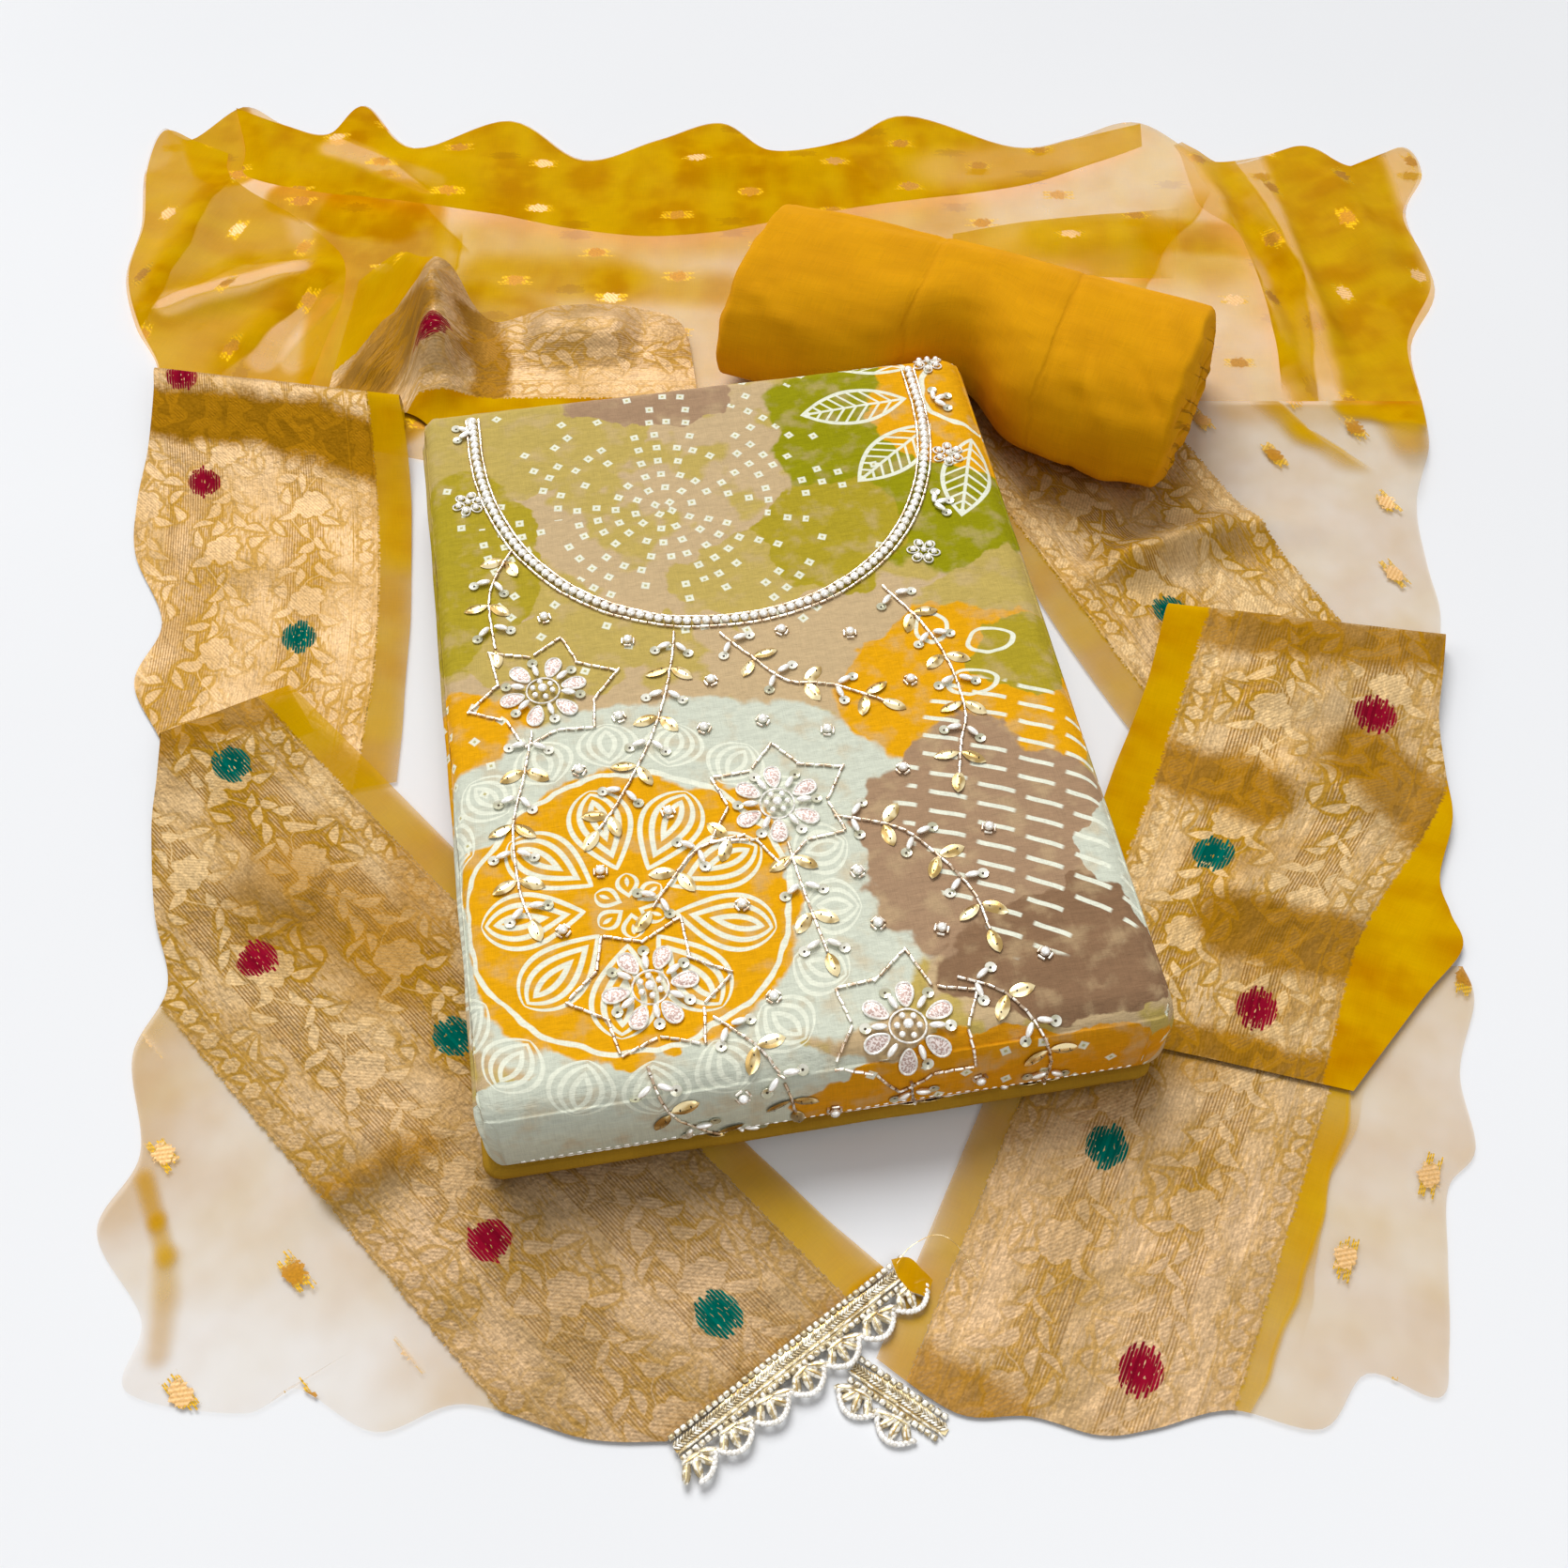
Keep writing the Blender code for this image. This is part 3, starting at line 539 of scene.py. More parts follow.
def layers_here(f, layers, veils, creases):
    """How many layers of organza lie at each place: the stretch's own, and more in its folds."""
    if not veils and not creases:
        return layers
    x, y = layout_place(f)
    wander = f.noise(x, y, 0.03, 1.0) - 0.5
    x = x + wander * 7
    y = y - wander * 6
    total = layers
    for veil in veils:
        away = along_line(f, x, y, veil)[1]
        total = f.soft(away, veil.half + veil.edge, veil.half) * veil.layers + total
    for crease in creases:
        run = (crease.x1 - crease.x0, crease.y1 - crease.y0)
        length = hypot(*run)
        share, away = along_line(f, x, y, crease)
        start = (crease.y0 * run[0] - crease.x0 * run[1]) / length
        aside = f.math("MULTIPLY_ADD", x, run[1] / length, y * (-run[0] / length) + start)
        deep = f.soft(aside, -0.5, 0.5) * f.soft(away, crease.fade, 0.0)
        line = f.soft(away, 1.3, 0.4) * f.soft(abs(share - 0.5), 0.5, 0.35)
        total = deep * crease.layers + line * 0.5 + total
    return f.most(total, 0.3)


def border_figures(f, u, v, strip, zari, swing):
    """The boughs and the rows of flowers beside them: (fill, gap round them, nearness to them)."""
    inside = woven_figures(f, (u - strip - 11 + swing) * 1.2, (v - swing) * 1.2) / 1.2
    near = u - strip - 6.0
    far = zari - u - 5.5
    rows = f.least(abs(near), abs(far))
    in_rows = f.soft(rows, 5.2, 4.9)
    flowers = edge_flowers(f, f.least(near, far), v)
    inside = inside + in_rows * (flowers - inside)
    fill = f.soft(inside, -0.1, 0.5)
    gap = f.soft(abs(inside + 0.6), 1.2, 0.5)
    around = f.soft(inside, -6.0, -1.5) * (1 - fill)
    lines = f.soft(abs(rows - 5.6), 0.55, 0.2)
    return fill, f.most(gap, lines), around


def border_cloth(f, u, v, strip, zari, dots, shade_zones, pale):
    """The woven border: (colour, metal, relief)."""
    swing = (f.noise(u, v, 0.06, 1.0) - 0.5) * 9
    x, y = layout_place(f)
    fill, gap, around = border_figures(f, u, v, strip, zari, swing)
    ribs = f.sine(u * (tau / RIB)) * 0.5 + 0.5
    hatch = f.sine((u + v * 0.9) * (tau / 1.75)) * 0.5 + 0.5
    grain = f.noise(u / 0.9, v / 2.2, 1.0, 1.0)
    crumb = f.noise(u / 1.6, v / 1.6, 1.0, 1.0)
    fleck = f.noise(u / 1.1, v / 5.5, 1.0, 1.0)
    loose = f.soft(f.noise(u / 34, v / 46), 0.40, 0.60)
    cloud = f.noise(u, v, 0.028, 2.0)
    if dots:
        places = sorted({round(dot.u) for dot in dots})
        columns = reduce(f.most, (f.soft(abs(u - place), 9.5, 8.5) for place in places))
        ribbed = columns * 0.7 + 0.2
    else:
        ribbed = f.soft(cloud, 0.40, 0.62) * 0.5
    low = f.soft(cloud, 0.38, 0.66)
    # Painted sheen: towards the front of the set, and wherever pale is above 0, the gilt is painted
    # paler, with fainter ribs and figures and less mustard showing.
    sheen_and_wear = f.most(f.soft(y + cloud * 60, -80, -200), pale)
    gilt = f.mix(sheen_and_wear, f.mix(low, GILT, GILT_LOW), f.mix(low, GILT_PALE, GILT_PALE_LOW))
    cloth = f.mix(ribs * (1 - fill) * ribbed * (1 - sheen_and_wear * 0.3), gilt, GILT_RIB)
    cloth = f.mix(fill * (0.45 - sheen_and_wear * 0.25), cloth, f.mix(sheen_and_wear, GILT_LEAF, GILT_PALE))
    cloth = f.mix(hatch * fill * 0.30, cloth, GILT_RIB)
    shown = loose * (1 - sheen_and_wear * 0.5) * 0.6 + 0.22
    mustard = f.most(gap, around * f.soft(fleck, 0.44, 0.58) * 0.9)
    mustard = f.most(mustard, f.soft(fleck, 0.52, 0.66) * loose * (1 - fill) * 0.8) * shown
    cloth = f.mix(mustard, cloth, GAP_MUSTARD)
    # Painted light and shade: pale also paints the whole stretch brighter above 0 and darker below
    # 0.
    cloth = f.shade(cloth, grain * 0.5 + crumb * 0.4 + (0.43 + pale * 0.14))
    metal = 0.26 - mustard * 0.16
    # Painted shade: in the listed hollows of the folds the gilt is painted a darker, shaded mustard
    # with less metal.
    if shade_zones:
        ragged = (crumb - 0.5) * 5 + swing * 1.4
        painted_shade = reduce(f.most, (
            f.soft(along_line(f, x, y, zone)[1] + ragged, zone.half + zone.edge, zone.half)
            * zone.layers for zone in shade_zones))
        shadow = f.shade(SHADED_GILT, (fill * hatch + gap) * 0.34 + grain * 0.3 + 0.72)
        cloth = f.mix(painted_shade, cloth, shadow)
        metal = metal - painted_shade * 0.14
    relief = crumb * 0.9 + f.noise(u / 8, v / 13, 1.0, 2.0) * 4.0
    for dyed, name in ((CRIMSON, "crimson"), (TEAL, "teal")):
        group = [dot for dot in dots if dot.colour == name]
        if group:
            mask = weft_dots(f, u, v, group)
            threads = f.chance(f.whole(u / THREAD) + 5.0) * 0.5 + 0.7
            cloth = f.mix(mask, cloth, f.shade(dyed, threads))
            metal = metal * (1 - mask)
    return cloth, metal, relief


def scarf_finish(name, strip=0.0, zari=0.0, layers=1.0, strip_layers=4.0, veils=(), creases=(),
                 dots=(), shade_zones=(), ghosts=False, pale=0.0):
    """Organza with, from u = strip to u = zari, the woven border.

    Veils and creases change how many layers lie there, shade_zones are hollows whose shade is
    painted in as a darker mustard gilt, ghosts are dots that show through from below, and pale
    paints light and shade over the whole stretch: towards 1 the gilt is painted paler and
    brighter, painted sheen and light, and below 0 it is painted darker, as shade.
    """
    f = Finish(name)
    u, v = f.cut()
    middle, tuft, age = gilt_dots(f, u, v, 0.0)
    count = layers_here(f, layers, veils, creases)
    tint = f.noise(u, v, 0.05, 2.0)
    count = tint * 0.5 + (count - 0.25)
    fray = (f.chance(f.whole(v / TUFT_THREAD)) - 0.5) * 1.2
    if zari:
        edge = f.soft(u, strip + 0.4, strip - 0.2)
        count = count + edge * (strip_layers - layers) * f.soft(u, -9, 9)
        body = f.soft(u, zari + 8, zari + 14)
        middle = middle * body
        tuft = tuft * body
    alpha = 1 - f.math("EXPONENT", count * count * -0.36)
    streak = f.noise(u / 70, v / 30)
    sheer = f.mix(f.soft(count, 1.6, 4.0) * f.soft(tint, 0.3, 0.6), MUSTARD, MUSTARD_DEEP)
    sheer = f.mix(f.soft(streak, 0.36, 0.66) * 0.7, sheer, MUSTARD_LEMON)
    weave = f.noise(u / 0.5, v / 8, 1.0, 0.0) + f.noise(u / 8, v / 0.5, 1.0, 0.0)
    sheer = f.shade(sheer, weave * 0.10 + 0.92)
    if ghosts:
        under, torn = gilt_dots(f, u + 17, v + 13, 0.31)[:2]
        sheer = f.mix(f.most(under, torn) * 0.5, sheer, GHOST)
    hatch = f.sine((u * 0.7 + v) * (tau / 2.1)) * 0.5 + 0.5
    dot = f.mix(f.most(f.soft(age, 0.42, 0.62), hatch * 0.5), DOT_GILT, DOT_WORN)
    dot = f.shade(dot, f.noise(u / 0.9, v / 0.9, 1.0, 1.0) * 0.8 + 0.6)
    colour = f.mix(tuft, f.mix(middle, sheer, dot), f.shade(DOT_TUFT, hatch * 0.5 + 0.7))
    marks = f.most(middle, tuft)
    alpha = f.most(alpha, marks * 0.93)
    metal = marks * 0.35
    if zari:
        cloth, shine, relief = border_cloth(f, u, v, strip, zari, dots, shade_zones, pale)
        border = f.soft(u + fray, strip - 0.4, strip + 0.4)
        border = border * f.soft(u + fray, zari + 0.5, zari - 0.5)
        colour = f.mix(border, colour, cloth)
        alpha = f.most(alpha, border)
        metal = f.most(metal, border * shine)
        f.raised(relief, 0.36, border)
    f.set(Roughness=0.5, Metallic=metal, Alpha=alpha, Base_Color=colour, Specular_IOR_Level=0.0)
    return f.material


print("weft dots are", DOT_RADIUS * 2, "mm across, gilt dots", BODY_WIDE, "mm apart")

# %% [markdown]
# ## Laying one stretch
#
# Each stretch is a grid, and each of its points finds its row, its place across it and so its
# height. Its u and v are the distances from the selvage and along it, measured from a straight
# line laid on the table, so the woven border stays one even band however the rows splay.

# %% A stretch of the scarf
Selvage = namedtuple("Selvage", "x0 y0 x1 y1 side")


def on_cut(selvage, x, y):
    """u away from a selvage line and v along it."""
    length = hypot(selvage.x1 - selvage.x0, selvage.y1 - selvage.y0)
    ahead = ((selvage.x1 - selvage.x0) / length, (selvage.y1 - selvage.y0) / length)
    u = (ahead[1] * (x - selvage.x0) - ahead[0] * (y - selvage.y0)) * selvage.side
    v = ahead[0] * (x - selvage.x0) + ahead[1] * (y - selvage.y0)
    return u, v


def finish_mesh(bm, name, material):
    """The finished bmesh as an object at the origin, smooth, with its one material."""
    mesh = bpy.data.meshes.new(name)
    bm.to_mesh(mesh)
    bm.free()
    mesh.materials.append(material)
    mesh.shade_smooth()
    piece = bpy.data.objects.new(name, mesh)
    scene.collection.objects.link(piece)
    return piece


def settle(piece, slot, *nodes):
    """Let a piece ride with the set and stand for its solids. Its slot is not used."""
    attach(piece, "root")
    if nodes:
        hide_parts(*nodes)


def chart_cloth(bm, charted):
    """Write each point's u and v on the flat cut into the mesh's own map."""
    cut = bm.loops.layers.uv.new("cut")
    for face in bm.faces:
        for loop in face.loops:
            loop[cut].uv = [value * MM for value in charted[loop.vert]]


def lay_cloth(name, node, rows, folds, steps, across, chart, material, slot, lift=0.5):
    """Lay one stretch through its rows, with ripples, and say what was cut for it.

    Sheer organza lets nearly all light through, so those stretches cast no shadow of their own.
    """
    bm = bmesh.new()
    last = len(rows) - 1
    bmesh.ops.create_grid(bm, x_segments=last * steps, y_segments=across, size=1.0)
    charted = {}
    for vert in bm.verts:
        place = (vert.co.x + 1) / 2 * last
        over = (vert.co.y + 1) / 2
        row = Row(*curve_through(rows, place))
        x = row.inner_x + over * (row.outer_x - row.inner_x)
        y = row.inner_y + over * (row.outer_y - row.inner_y)
        inner = max(row.inner_z, CLOTH)
        z = inner + over * (max(row.outer_z, CLOTH) - inner)
        charted[vert] = chart(x, y)
        vert.co = to_set(x, y, z + fold_height(x, y, folds) + ripple(x, y, lift))
    chart_cloth(bm, charted)
    bm.normal_update()
    if sum(face.normal.z * face.calc_area() for face in bm.faces) < 0:
        bmesh.ops.reverse_faces(bm, faces=bm.faces)
    area = sum(face.calc_area() for face in bm.faces)
    wide, long = ((max(values) - min(values)) * MM for values in zip(*charted.values()))
    piece = finish_mesh(bm, name, material)
    piece.visible_shadow = slot != "organza"
    settle(piece, slot, *([node] if node else []))
    min(area, wide * long)
    print(f"{name}: {wide * 1000:.0f} x {long * 1000:.0f} mm of the cut, {area * 1e4:.0f} cm2")


# %% [markdown]
# ## The back of the horseshoe
#
# Behind the pack the scarf lies single and pale, with its long edge doubled back on itself at the
# far side, which makes the deep mustard band there. At the left that band rolls over into a soft
# loop, at the right it falls into two pleats, and a short tuck lies behind the salwar. These
# stretches are all sheer body. A row gives the x, y and z of its inner end and of its outer end.

# %% Rows of the back
BACK_ROWS = flat_rows(
    (-150, 165, -293, 200), (-149, 165, -298, 232), (-148, 165, -315, 262),
    (-147, 165, -328, 300), (-145, 165, -329, 342), (-141, 165, -337, 390),
    (-136, 165, -335, 428), (-130, 166, -317, 418), (-124, 167, -294, 449),
    (-118, 168, -268, 432), (-112, 169, -242, 424), (-105, 170, -225, 450),
    (-98, 171, -193, 411), (-90, 173, -142, 436), (-80, 175, -99, 400), (-68, 177, -59, 418),
    (-54, 179, -24, 434), (-38, 182, 5, 408), (-20, 185, 45, 418), (0, 189, 80, 441),
    (18, 192, 138, 412), (34, 195, 172, 420), (48, 198, 210, 434), (60, 201, 250, 396),
    (69, 203, 299, 412), (76, 205, 321, 394), (81, 206, 353, 412), (86, 207, 358, 386),
    (90, 207.5, 342, 350), (93, 207.9, 345, 291), (95, 208, 324, 248),
    (96, 207.75, 321, 207.75),
)

BAND_ROWS = (
    Row(-283, 402, 3.5, -297, 446, OVER_1),
    Row(-278, 378, 6.5, -268, 430, OVER_1),
    Row(-240, 362, 8.5, -242, 421, OVER_1),
    Row(-212, 357, 9.0, -225, 447, OVER_1),
    Row(-180, 351, 9.0, -193, 408, OVER_1),
    Row(-142, 343, 8.5, -142, 433, OVER_1),
    Row(-100, 331, 8.0, -99, 397, OVER_1),
    Row(-62, 325, 8.0, -59, 415, OVER_1),
    Row(-30, 327, 8.5, -24, 431, OVER_1),
    Row(0, 334, 9.0, 5, 405, OVER_1),
    Row(38, 345, 9.0, 45, 415, OVER_1),
    Row(72, 354, 8.0, 80, 438, OVER_1),
    Row(132, 367, 7.0, 138, 409, OVER_1),
    Row(170, 385, 6.0, 172, 417, OVER_1),
    Row(208, 408, 4.0, 210, 431, OVER_1),
)

BAND_FOLDS = (
    Fold(-230, 395, -150, 375, 3.0, 14),
    Fold(-60, 385, 60, 392, 2.5, 16),
)

LEFT_FOLD_ROWS = (
    Row(-222, 200, OVER_1, -291, 206, OVER_1),
    Row(-220, 222, OVER_1, -297, 232, OVER_1),
    Row(-216, 250, 5.0, -313, 262, 3.4),
    Row(-212, 280, 6.5, -326, 300, 3.4),
    Row(-218, 312, 6.5, -327, 342, 3.4),
    Row(-248, 346, 5.0, -335, 390, 3.4),
    Row(-286, 378, 3.4, -333, 424, OVER_1),
    Row(-294, 404, OVER_1, -316, 416, OVER_1),
)

LEFT_FOLD_FOLDS = (
    Fold(-288, 382, -312, 272, 6.0, 11),
    Fold(-304, 270, -232, 296, 5.0, 10),
    Fold(-262, 236, -222, 300, 4.0, 12),
)

SHORT_FOLD_ROWS = (
    Row(98, 306, OVER_1, 100, 334, OVER_1),
    Row(128, 301, OVER_1, 132, 339, 5.0),
    Row(160, 298, 4.0, 164, 343, 6.5),
    Row(192, 296, 4.0, 196, 347, 6.5),
    Row(212, 298, OVER_1, 221, 352, 5.0),
)

SHORT_FOLD_FOLDS = (
    Fold(120, 318, 205, 322, 4.0, 14),
)

PLEAT_ROWS = (
    Row(226, 411, OVER_1, 231, 414, OVER_1),
    Row(228, 401, OVER_1, 250, 394, OVER_1),
    Row(229, 388, OVER_1, 276, 402, OVER_1),
    Row(230, 373, OVER_1, 299, 410, OVER_1),
    Row(232, 356, OVER_1, 321, 392, OVER_1),
    Row(240, 339, OVER_1, 351, 409, OVER_1),
    Row(248, 325, OVER_1, 356, 386, OVER_1),
    Row(251, 305, OVER_1, 340, 350, OVER_1),
    Row(253, 281, OVER_1, 343, 318, OVER_1),
    Row(254, 258, OVER_1, 342, 290, OVER_1),
    Row(255, 238, OVER_1, 322, 249, OVER_1),
    Row(253, 206, OVER_1, 320, 206, OVER_1),
)

PLEAT_FOLDS = (
    Fold(234, 400, 262, 226, 7.0, 8),
    Fold(262, 378, 284, 228, 9.0, 9),
    Fold(300, 390, 326, 300, 6.0, 12),
)
print("rows of the back:", len(BACK_ROWS))

# %% Lay the back
LEVEL_EDGE = Selvage(-300, 150, 300, 150, -1)
LEFT_EDGE = Selvage(-320, 200, -250, 420, 1)
RIGHT_EDGE = Selvage(250, 420, 330, 200, 1)


def along_edge(selvage):
    return lambda x, y: on_cut(selvage, x, y)


back = scarf_finish("organza_back", layers=1.5, veils=(
    Veil(-140, 330, 90, 352, 12, 26, 0.6),
    Veil(-203, 350, -190, 206, 30, 8, 1.5),
    Veil(-252, 366, -216, 350, 12, 6, 1.6),
    Veil(-308, 436, -292, 398, 18, 5, 1.7),
    Veil(-216, 352, -196, 346, 8, 14, 1.6),
    Veil(-144, 300, -78, 298, 5, 22, 1.4),
    Veil(-78, 296, -20, 290, 3, 18, 1.0),
    Veil(-148, 276, -118, 262, 12, 14, 1.2),
    Veil(60, 300, 230, 316, 8, 26, 0.6),
    Veil(212, 335, 255, 330, 10, 8, 0.7),
    Veil(240, 330, 330, 250, 20, 40, 0.3),
    Veil(-345, 430, -336, 400, 8, 6, -0.8),
), creases=(
    Crease(-183, 362, -159, 329, 12, 0.9),
    Crease(-159, 329, -159, 306, 12, 0.9),
    Crease(235, 360, 214, 327, 18, 0.8),
    Crease(214, 327, 198, 295, 18, 0.8),
), ghosts=True)
lay_cloth("dupatta_back_sheet", "dupatta_back", BACK_ROWS, (), 8, 56,
          along_edge(LEVEL_EDGE), back, "organza")
band = scarf_finish("organza_band", layers=3.6, veils=(
    Veil(100, 384, 225, 420, 8, 24, -1.5),
    Veil(-30, 396, 10, 380, 10, 22, 0.7),
    Veil(-234, 406, -178, 368, 6, 8, -2.2),
), creases=(
    Crease(-143, 338, -172, 358, 26, 0.9),
    Crease(-172, 358, -203, 390, 26, 0.9),
    Crease(-203, 390, -237, 419, 26, 0.9),
    Crease(-195, 356, -263, 370, 20, 0.8),
    Crease(40, 414, 66, 350, 20, 0.6),
), ghosts=True)
lay_cloth("dupatta_back_fold", "dupatta_back_band", BAND_ROWS, BAND_FOLDS, 14, 26,
          along_edge(LEVEL_EDGE), band, "organza")
loop = scarf_finish("organza_loop", layers=2.4, veils=(
    Veil(-246, 352, -234, 318, 4, 9, -0.7),
    Veil(-298, 274, -240, 299, 6, 6, -1.5),
    Veil(-246, 235, -214, 288, 5, 5, -1.0),
    Veil(-228, 235, -213, 270, 7, 6, -1.0),
), creases=(
    Crease(-285, 391, -302, 295, 22, 1.4),
    Crease(-302, 295, -309, 261, 14, 1.4),
    Crease(-230, 310, -267, 306, 16, 0.7),
    Crease(-267, 306, -309, 273, 16, 0.7),
    Crease(-309, 268, -230, 296, 26, 0.8),
    Crease(-211, 299, -257, 233, 20, 0.8),
    Crease(-216, 234, -207, 272, 16, 1.0),
    Crease(-210, 301, -257, 235, 26, 0.9),
    Crease(-212, 329, -204, 249, 16, 1.0),
), ghosts=True)
lay_cloth("dupatta_loop", "dupatta_left_fold", LEFT_FOLD_ROWS, LEFT_FOLD_FOLDS, 18, 40,
          along_edge(LEFT_EDGE), loop, "organza")

# %% Lay the tuck and the pleats
tuck = scarf_finish("organza_tuck", layers=2.2, veils=(
    Veil(150, 326, 205, 330, 8, 12, 0.8),
    Veil(224, 300, 226, 356, 8, 22, -1.6),
    Veil(96, 300, 160, 296, 3, 12, -1.0),
))
lay_cloth("dupatta_tuck", "dupatta_short_fold", SHORT_FOLD_ROWS, SHORT_FOLD_FOLDS, 14, 20,
          along_edge(LEVEL_EDGE), tuck, "organza")
pleats = scarf_finish("organza_pleats", layers=1.3, veils=(
    Veil(248, 208, 272, 208, 3, 14, -0.9),
    Veil(306, 400, 313, 212, 27, 9, 2.0),
    Veil(250, 352, 267, 300, 3, 7, 1.1),
    Veil(267, 300, 258, 236, 3, 7, 1.1),
    Veil(258, 236, 264, 206, 3, 7, 1.1),
    Veil(240, 408, 250, 366, 5, 8, 0.9),
), creases=(
    Crease(247, 336, 258, 239, 12, 1.0),
    Crease(258, 239, 251, 208, 14, 1.0),
    Crease(259, 387, 275, 288, 26, 1.3),
    Crease(275, 288, 270, 209, 18, 1.3),
), ghosts=True)
lay_cloth("dupatta_pleats", "dupatta_right_pleats", PLEAT_ROWS, PLEAT_FOLDS, 12, 44,
          along_edge(RIGHT_EDGE), pleats, "organza")

# %% [markdown]
# ## The gathers at the top left
#
# Where the scarf turns the first corner its border bunches up behind the pack and stands in a
# small tent. Here the border's outer edge isn't straight, so a short table gives it, and u is
# counted from that edge inwards.

# %% Lay the gathers
GATHER_ROWS = (
    Row(-211, 198, OVER_1, -207, 296, OVER_1),
    Row(-200, 199, OVER_1, -190, 318, OVER_1),
    Row(-186, 199, OVER_1, -177, 312, 5.0),
    Row(-172, 198, OVER_1, -166, 302, 9.0),
    Row(-160, 190, OVER_1, -156, 293, 7.0),
    Row(-148, 172, OVER_1, -146, 274, OVER_1),
    Row(-133, 173, OVER_1, -132, 262, OVER_1),
    Row(-116, 175, OVER_1, -114, 268, 4.0),
    Row(-96, 178, OVER_1, -96, 273, 4.0),
    Row(-70, 182, OVER_1, -70, 273, 4.0),
    Row(-46, 187, OVER_1, -44, 265, 3.4),
    Row(-28, 190, OVER_1, -36, 250, OVER_1),
)

GATHER_FOLDS = (
    Fold(-154, 214, -166, 292, 21.0, 13),
    Fold(-120, 252, -58, 252, 9.0, 17),
    Fold(-196, 214, -184, 268, 6.0, 12),
)

STRIP = 16.0
ZARI = 116.0
GATHER_TUCK = 3.0
EdgePoint = namedtuple("EdgePoint", "x y")
GATHER_EDGE = (
    EdgePoint(-230, 205), EdgePoint(-199, 237), EdgePoint(-177, 281),
    EdgePoint(-166, 305), EdgePoint(-20, 305),
)


def gather_cut(x, y):
    """u counted inwards from the border's outer edge."""
    for start, end in zip(GATHER_EDGE, GATHER_EDGE[1:]):
        if x <= end.x:
            break
    share = min(max((x - start.x) / (end.x - start.x), 0.0), 1.0)
    edge = start.y + share * (end.y - start.y)
    return ZARI + y - edge - GATHER_TUCK * ease((x + 180) / 12), x


gathers = scarf_finish("zari_gathers", STRIP, ZARI, layers=2.4, pale=0.8, dots=(
    Dot(*gather_cut(-160, 237), "crimson"),
), shade_zones=(
    Veil(-142, 262, -130, 212, 6, 7, 0.9),
    Veil(-196, 210, -174, 256, 10, 10, 0.9),
    Veil(-164, 290, -164, 276, 4, 10, 0.5),
))
lay_cloth("dupatta_gathers", "dupatta_top_gather", GATHER_ROWS, GATHER_FOLDS, 18, 50,
          gather_cut, gathers, "zari_border")

# %% [markdown]
# ## The right side
#
# The border comes out from under the salwar, turns under itself, and comes back over its own end
# lower down: three stretches, each lying on the one before. The middle one is folded back at its
# top, so its first rows run underneath.

# %% Rows of the right side
RIGHT_UPPER_ROWS = flat_rows(
    (96, 207.75, 321, 207.75), (101, 175, 317, 175), (106, 145, 304, 140), (113, 112, 301, 102),
    (124, 80, 301, 74), (138, 46, 296, 52), (152, 16, 286, 18), (159, 2, 280, 0),
)

RIGHT_UPPER_FOLDS = (
    Fold(150, 94, 222, 124, 10.0, 10),
    Fold(222, 124, 262, 122, 4.0, 10),
    Fold(312, 196, 304, 138, 5.0, 8),
)

RIGHT_MIDDLE_ROWS = (
    Row(174, 50, PITCH, 290, 33, PITCH),
    Row(178, 66, PITCH, 295, 48, PITCH),
    Row(181, 73, 5.0, 298, 55, 5.0),
    Row(178, 68, 9.5, 296, 50, 9.5),
    Row(173, 52, 8.0, 291, 31, 8.5),
    Row(166, 30, 5.6, 285, 8, 6.5),
    Row(157, 8, 3.4, 283, -18, 4.0),
    Row(147, -15, OVER_1, 281, -40, 3.4),
    Row(136, -44, OVER_1, 270, -68, 3.4),
    Row(124, -78, OVER_1, 271, -84, OVER_1),
    Row(114, -102, OVER_1, 272, -100, OVER_1),
    Row(107, -118, OVER_1, 252, -122, OVER_1),
    Row(102, -130, OVER_1, 219, -160, OVER_1),
)

RIGHT_MIDDLE_FOLDS = (
    Fold(208, -8, 262, -38, 5.0, 15),
    Fold(176, -66, 244, -92, 4.0, 14),
    Fold(206, 30, 250, 16, 2.5, 12),
)

RIGHT_LOWER_ROWS = flat_rows(
    (108, -110, 42, -257), (120, -110, 68, -275), (134, -110, 92, -276), (148, -110, 114, -282),
    (162, -110, 132, -280), (176, -110, 158, -274), (190, -110, 187, -280),
    (202, -110, 205, -262), (212, -110, 227, -270), (222, -110, 234, -254),
    (231, -110, 240, -224), (238, -110, 246, -197), (244, -110, 259, -182),
    (250, -109, 260, -152), (255, -108, 272, -122), (262, -107, 271, -107),
)

print("rows of the folded middle:", len(RIGHT_MIDDLE_ROWS))

# %% Lay the right side
UPPER_EDGE = Selvage(137, 47, 154, 11.5, -1)
MIDDLE_EDGE = Selvage(178, 68, 102, -130, -1)
LOWER_EDGE = Selvage(108, -110, 42, -257, -1)
MIDDLE_SPLAY = 0.16


def cut_dots(chart, *spots):
    """Weft dots by their places on the table."""
    return [Dot(*chart(x, y), colour) for x, y, colour in spots]


def middle_cut(x, y):
    """The border splays a little towards the fold at its top."""
    u, v = on_cut(MIDDLE_EDGE, x, y)
    return u - MIDDLE_SPLAY * u * ease((y + 110) / 85), v


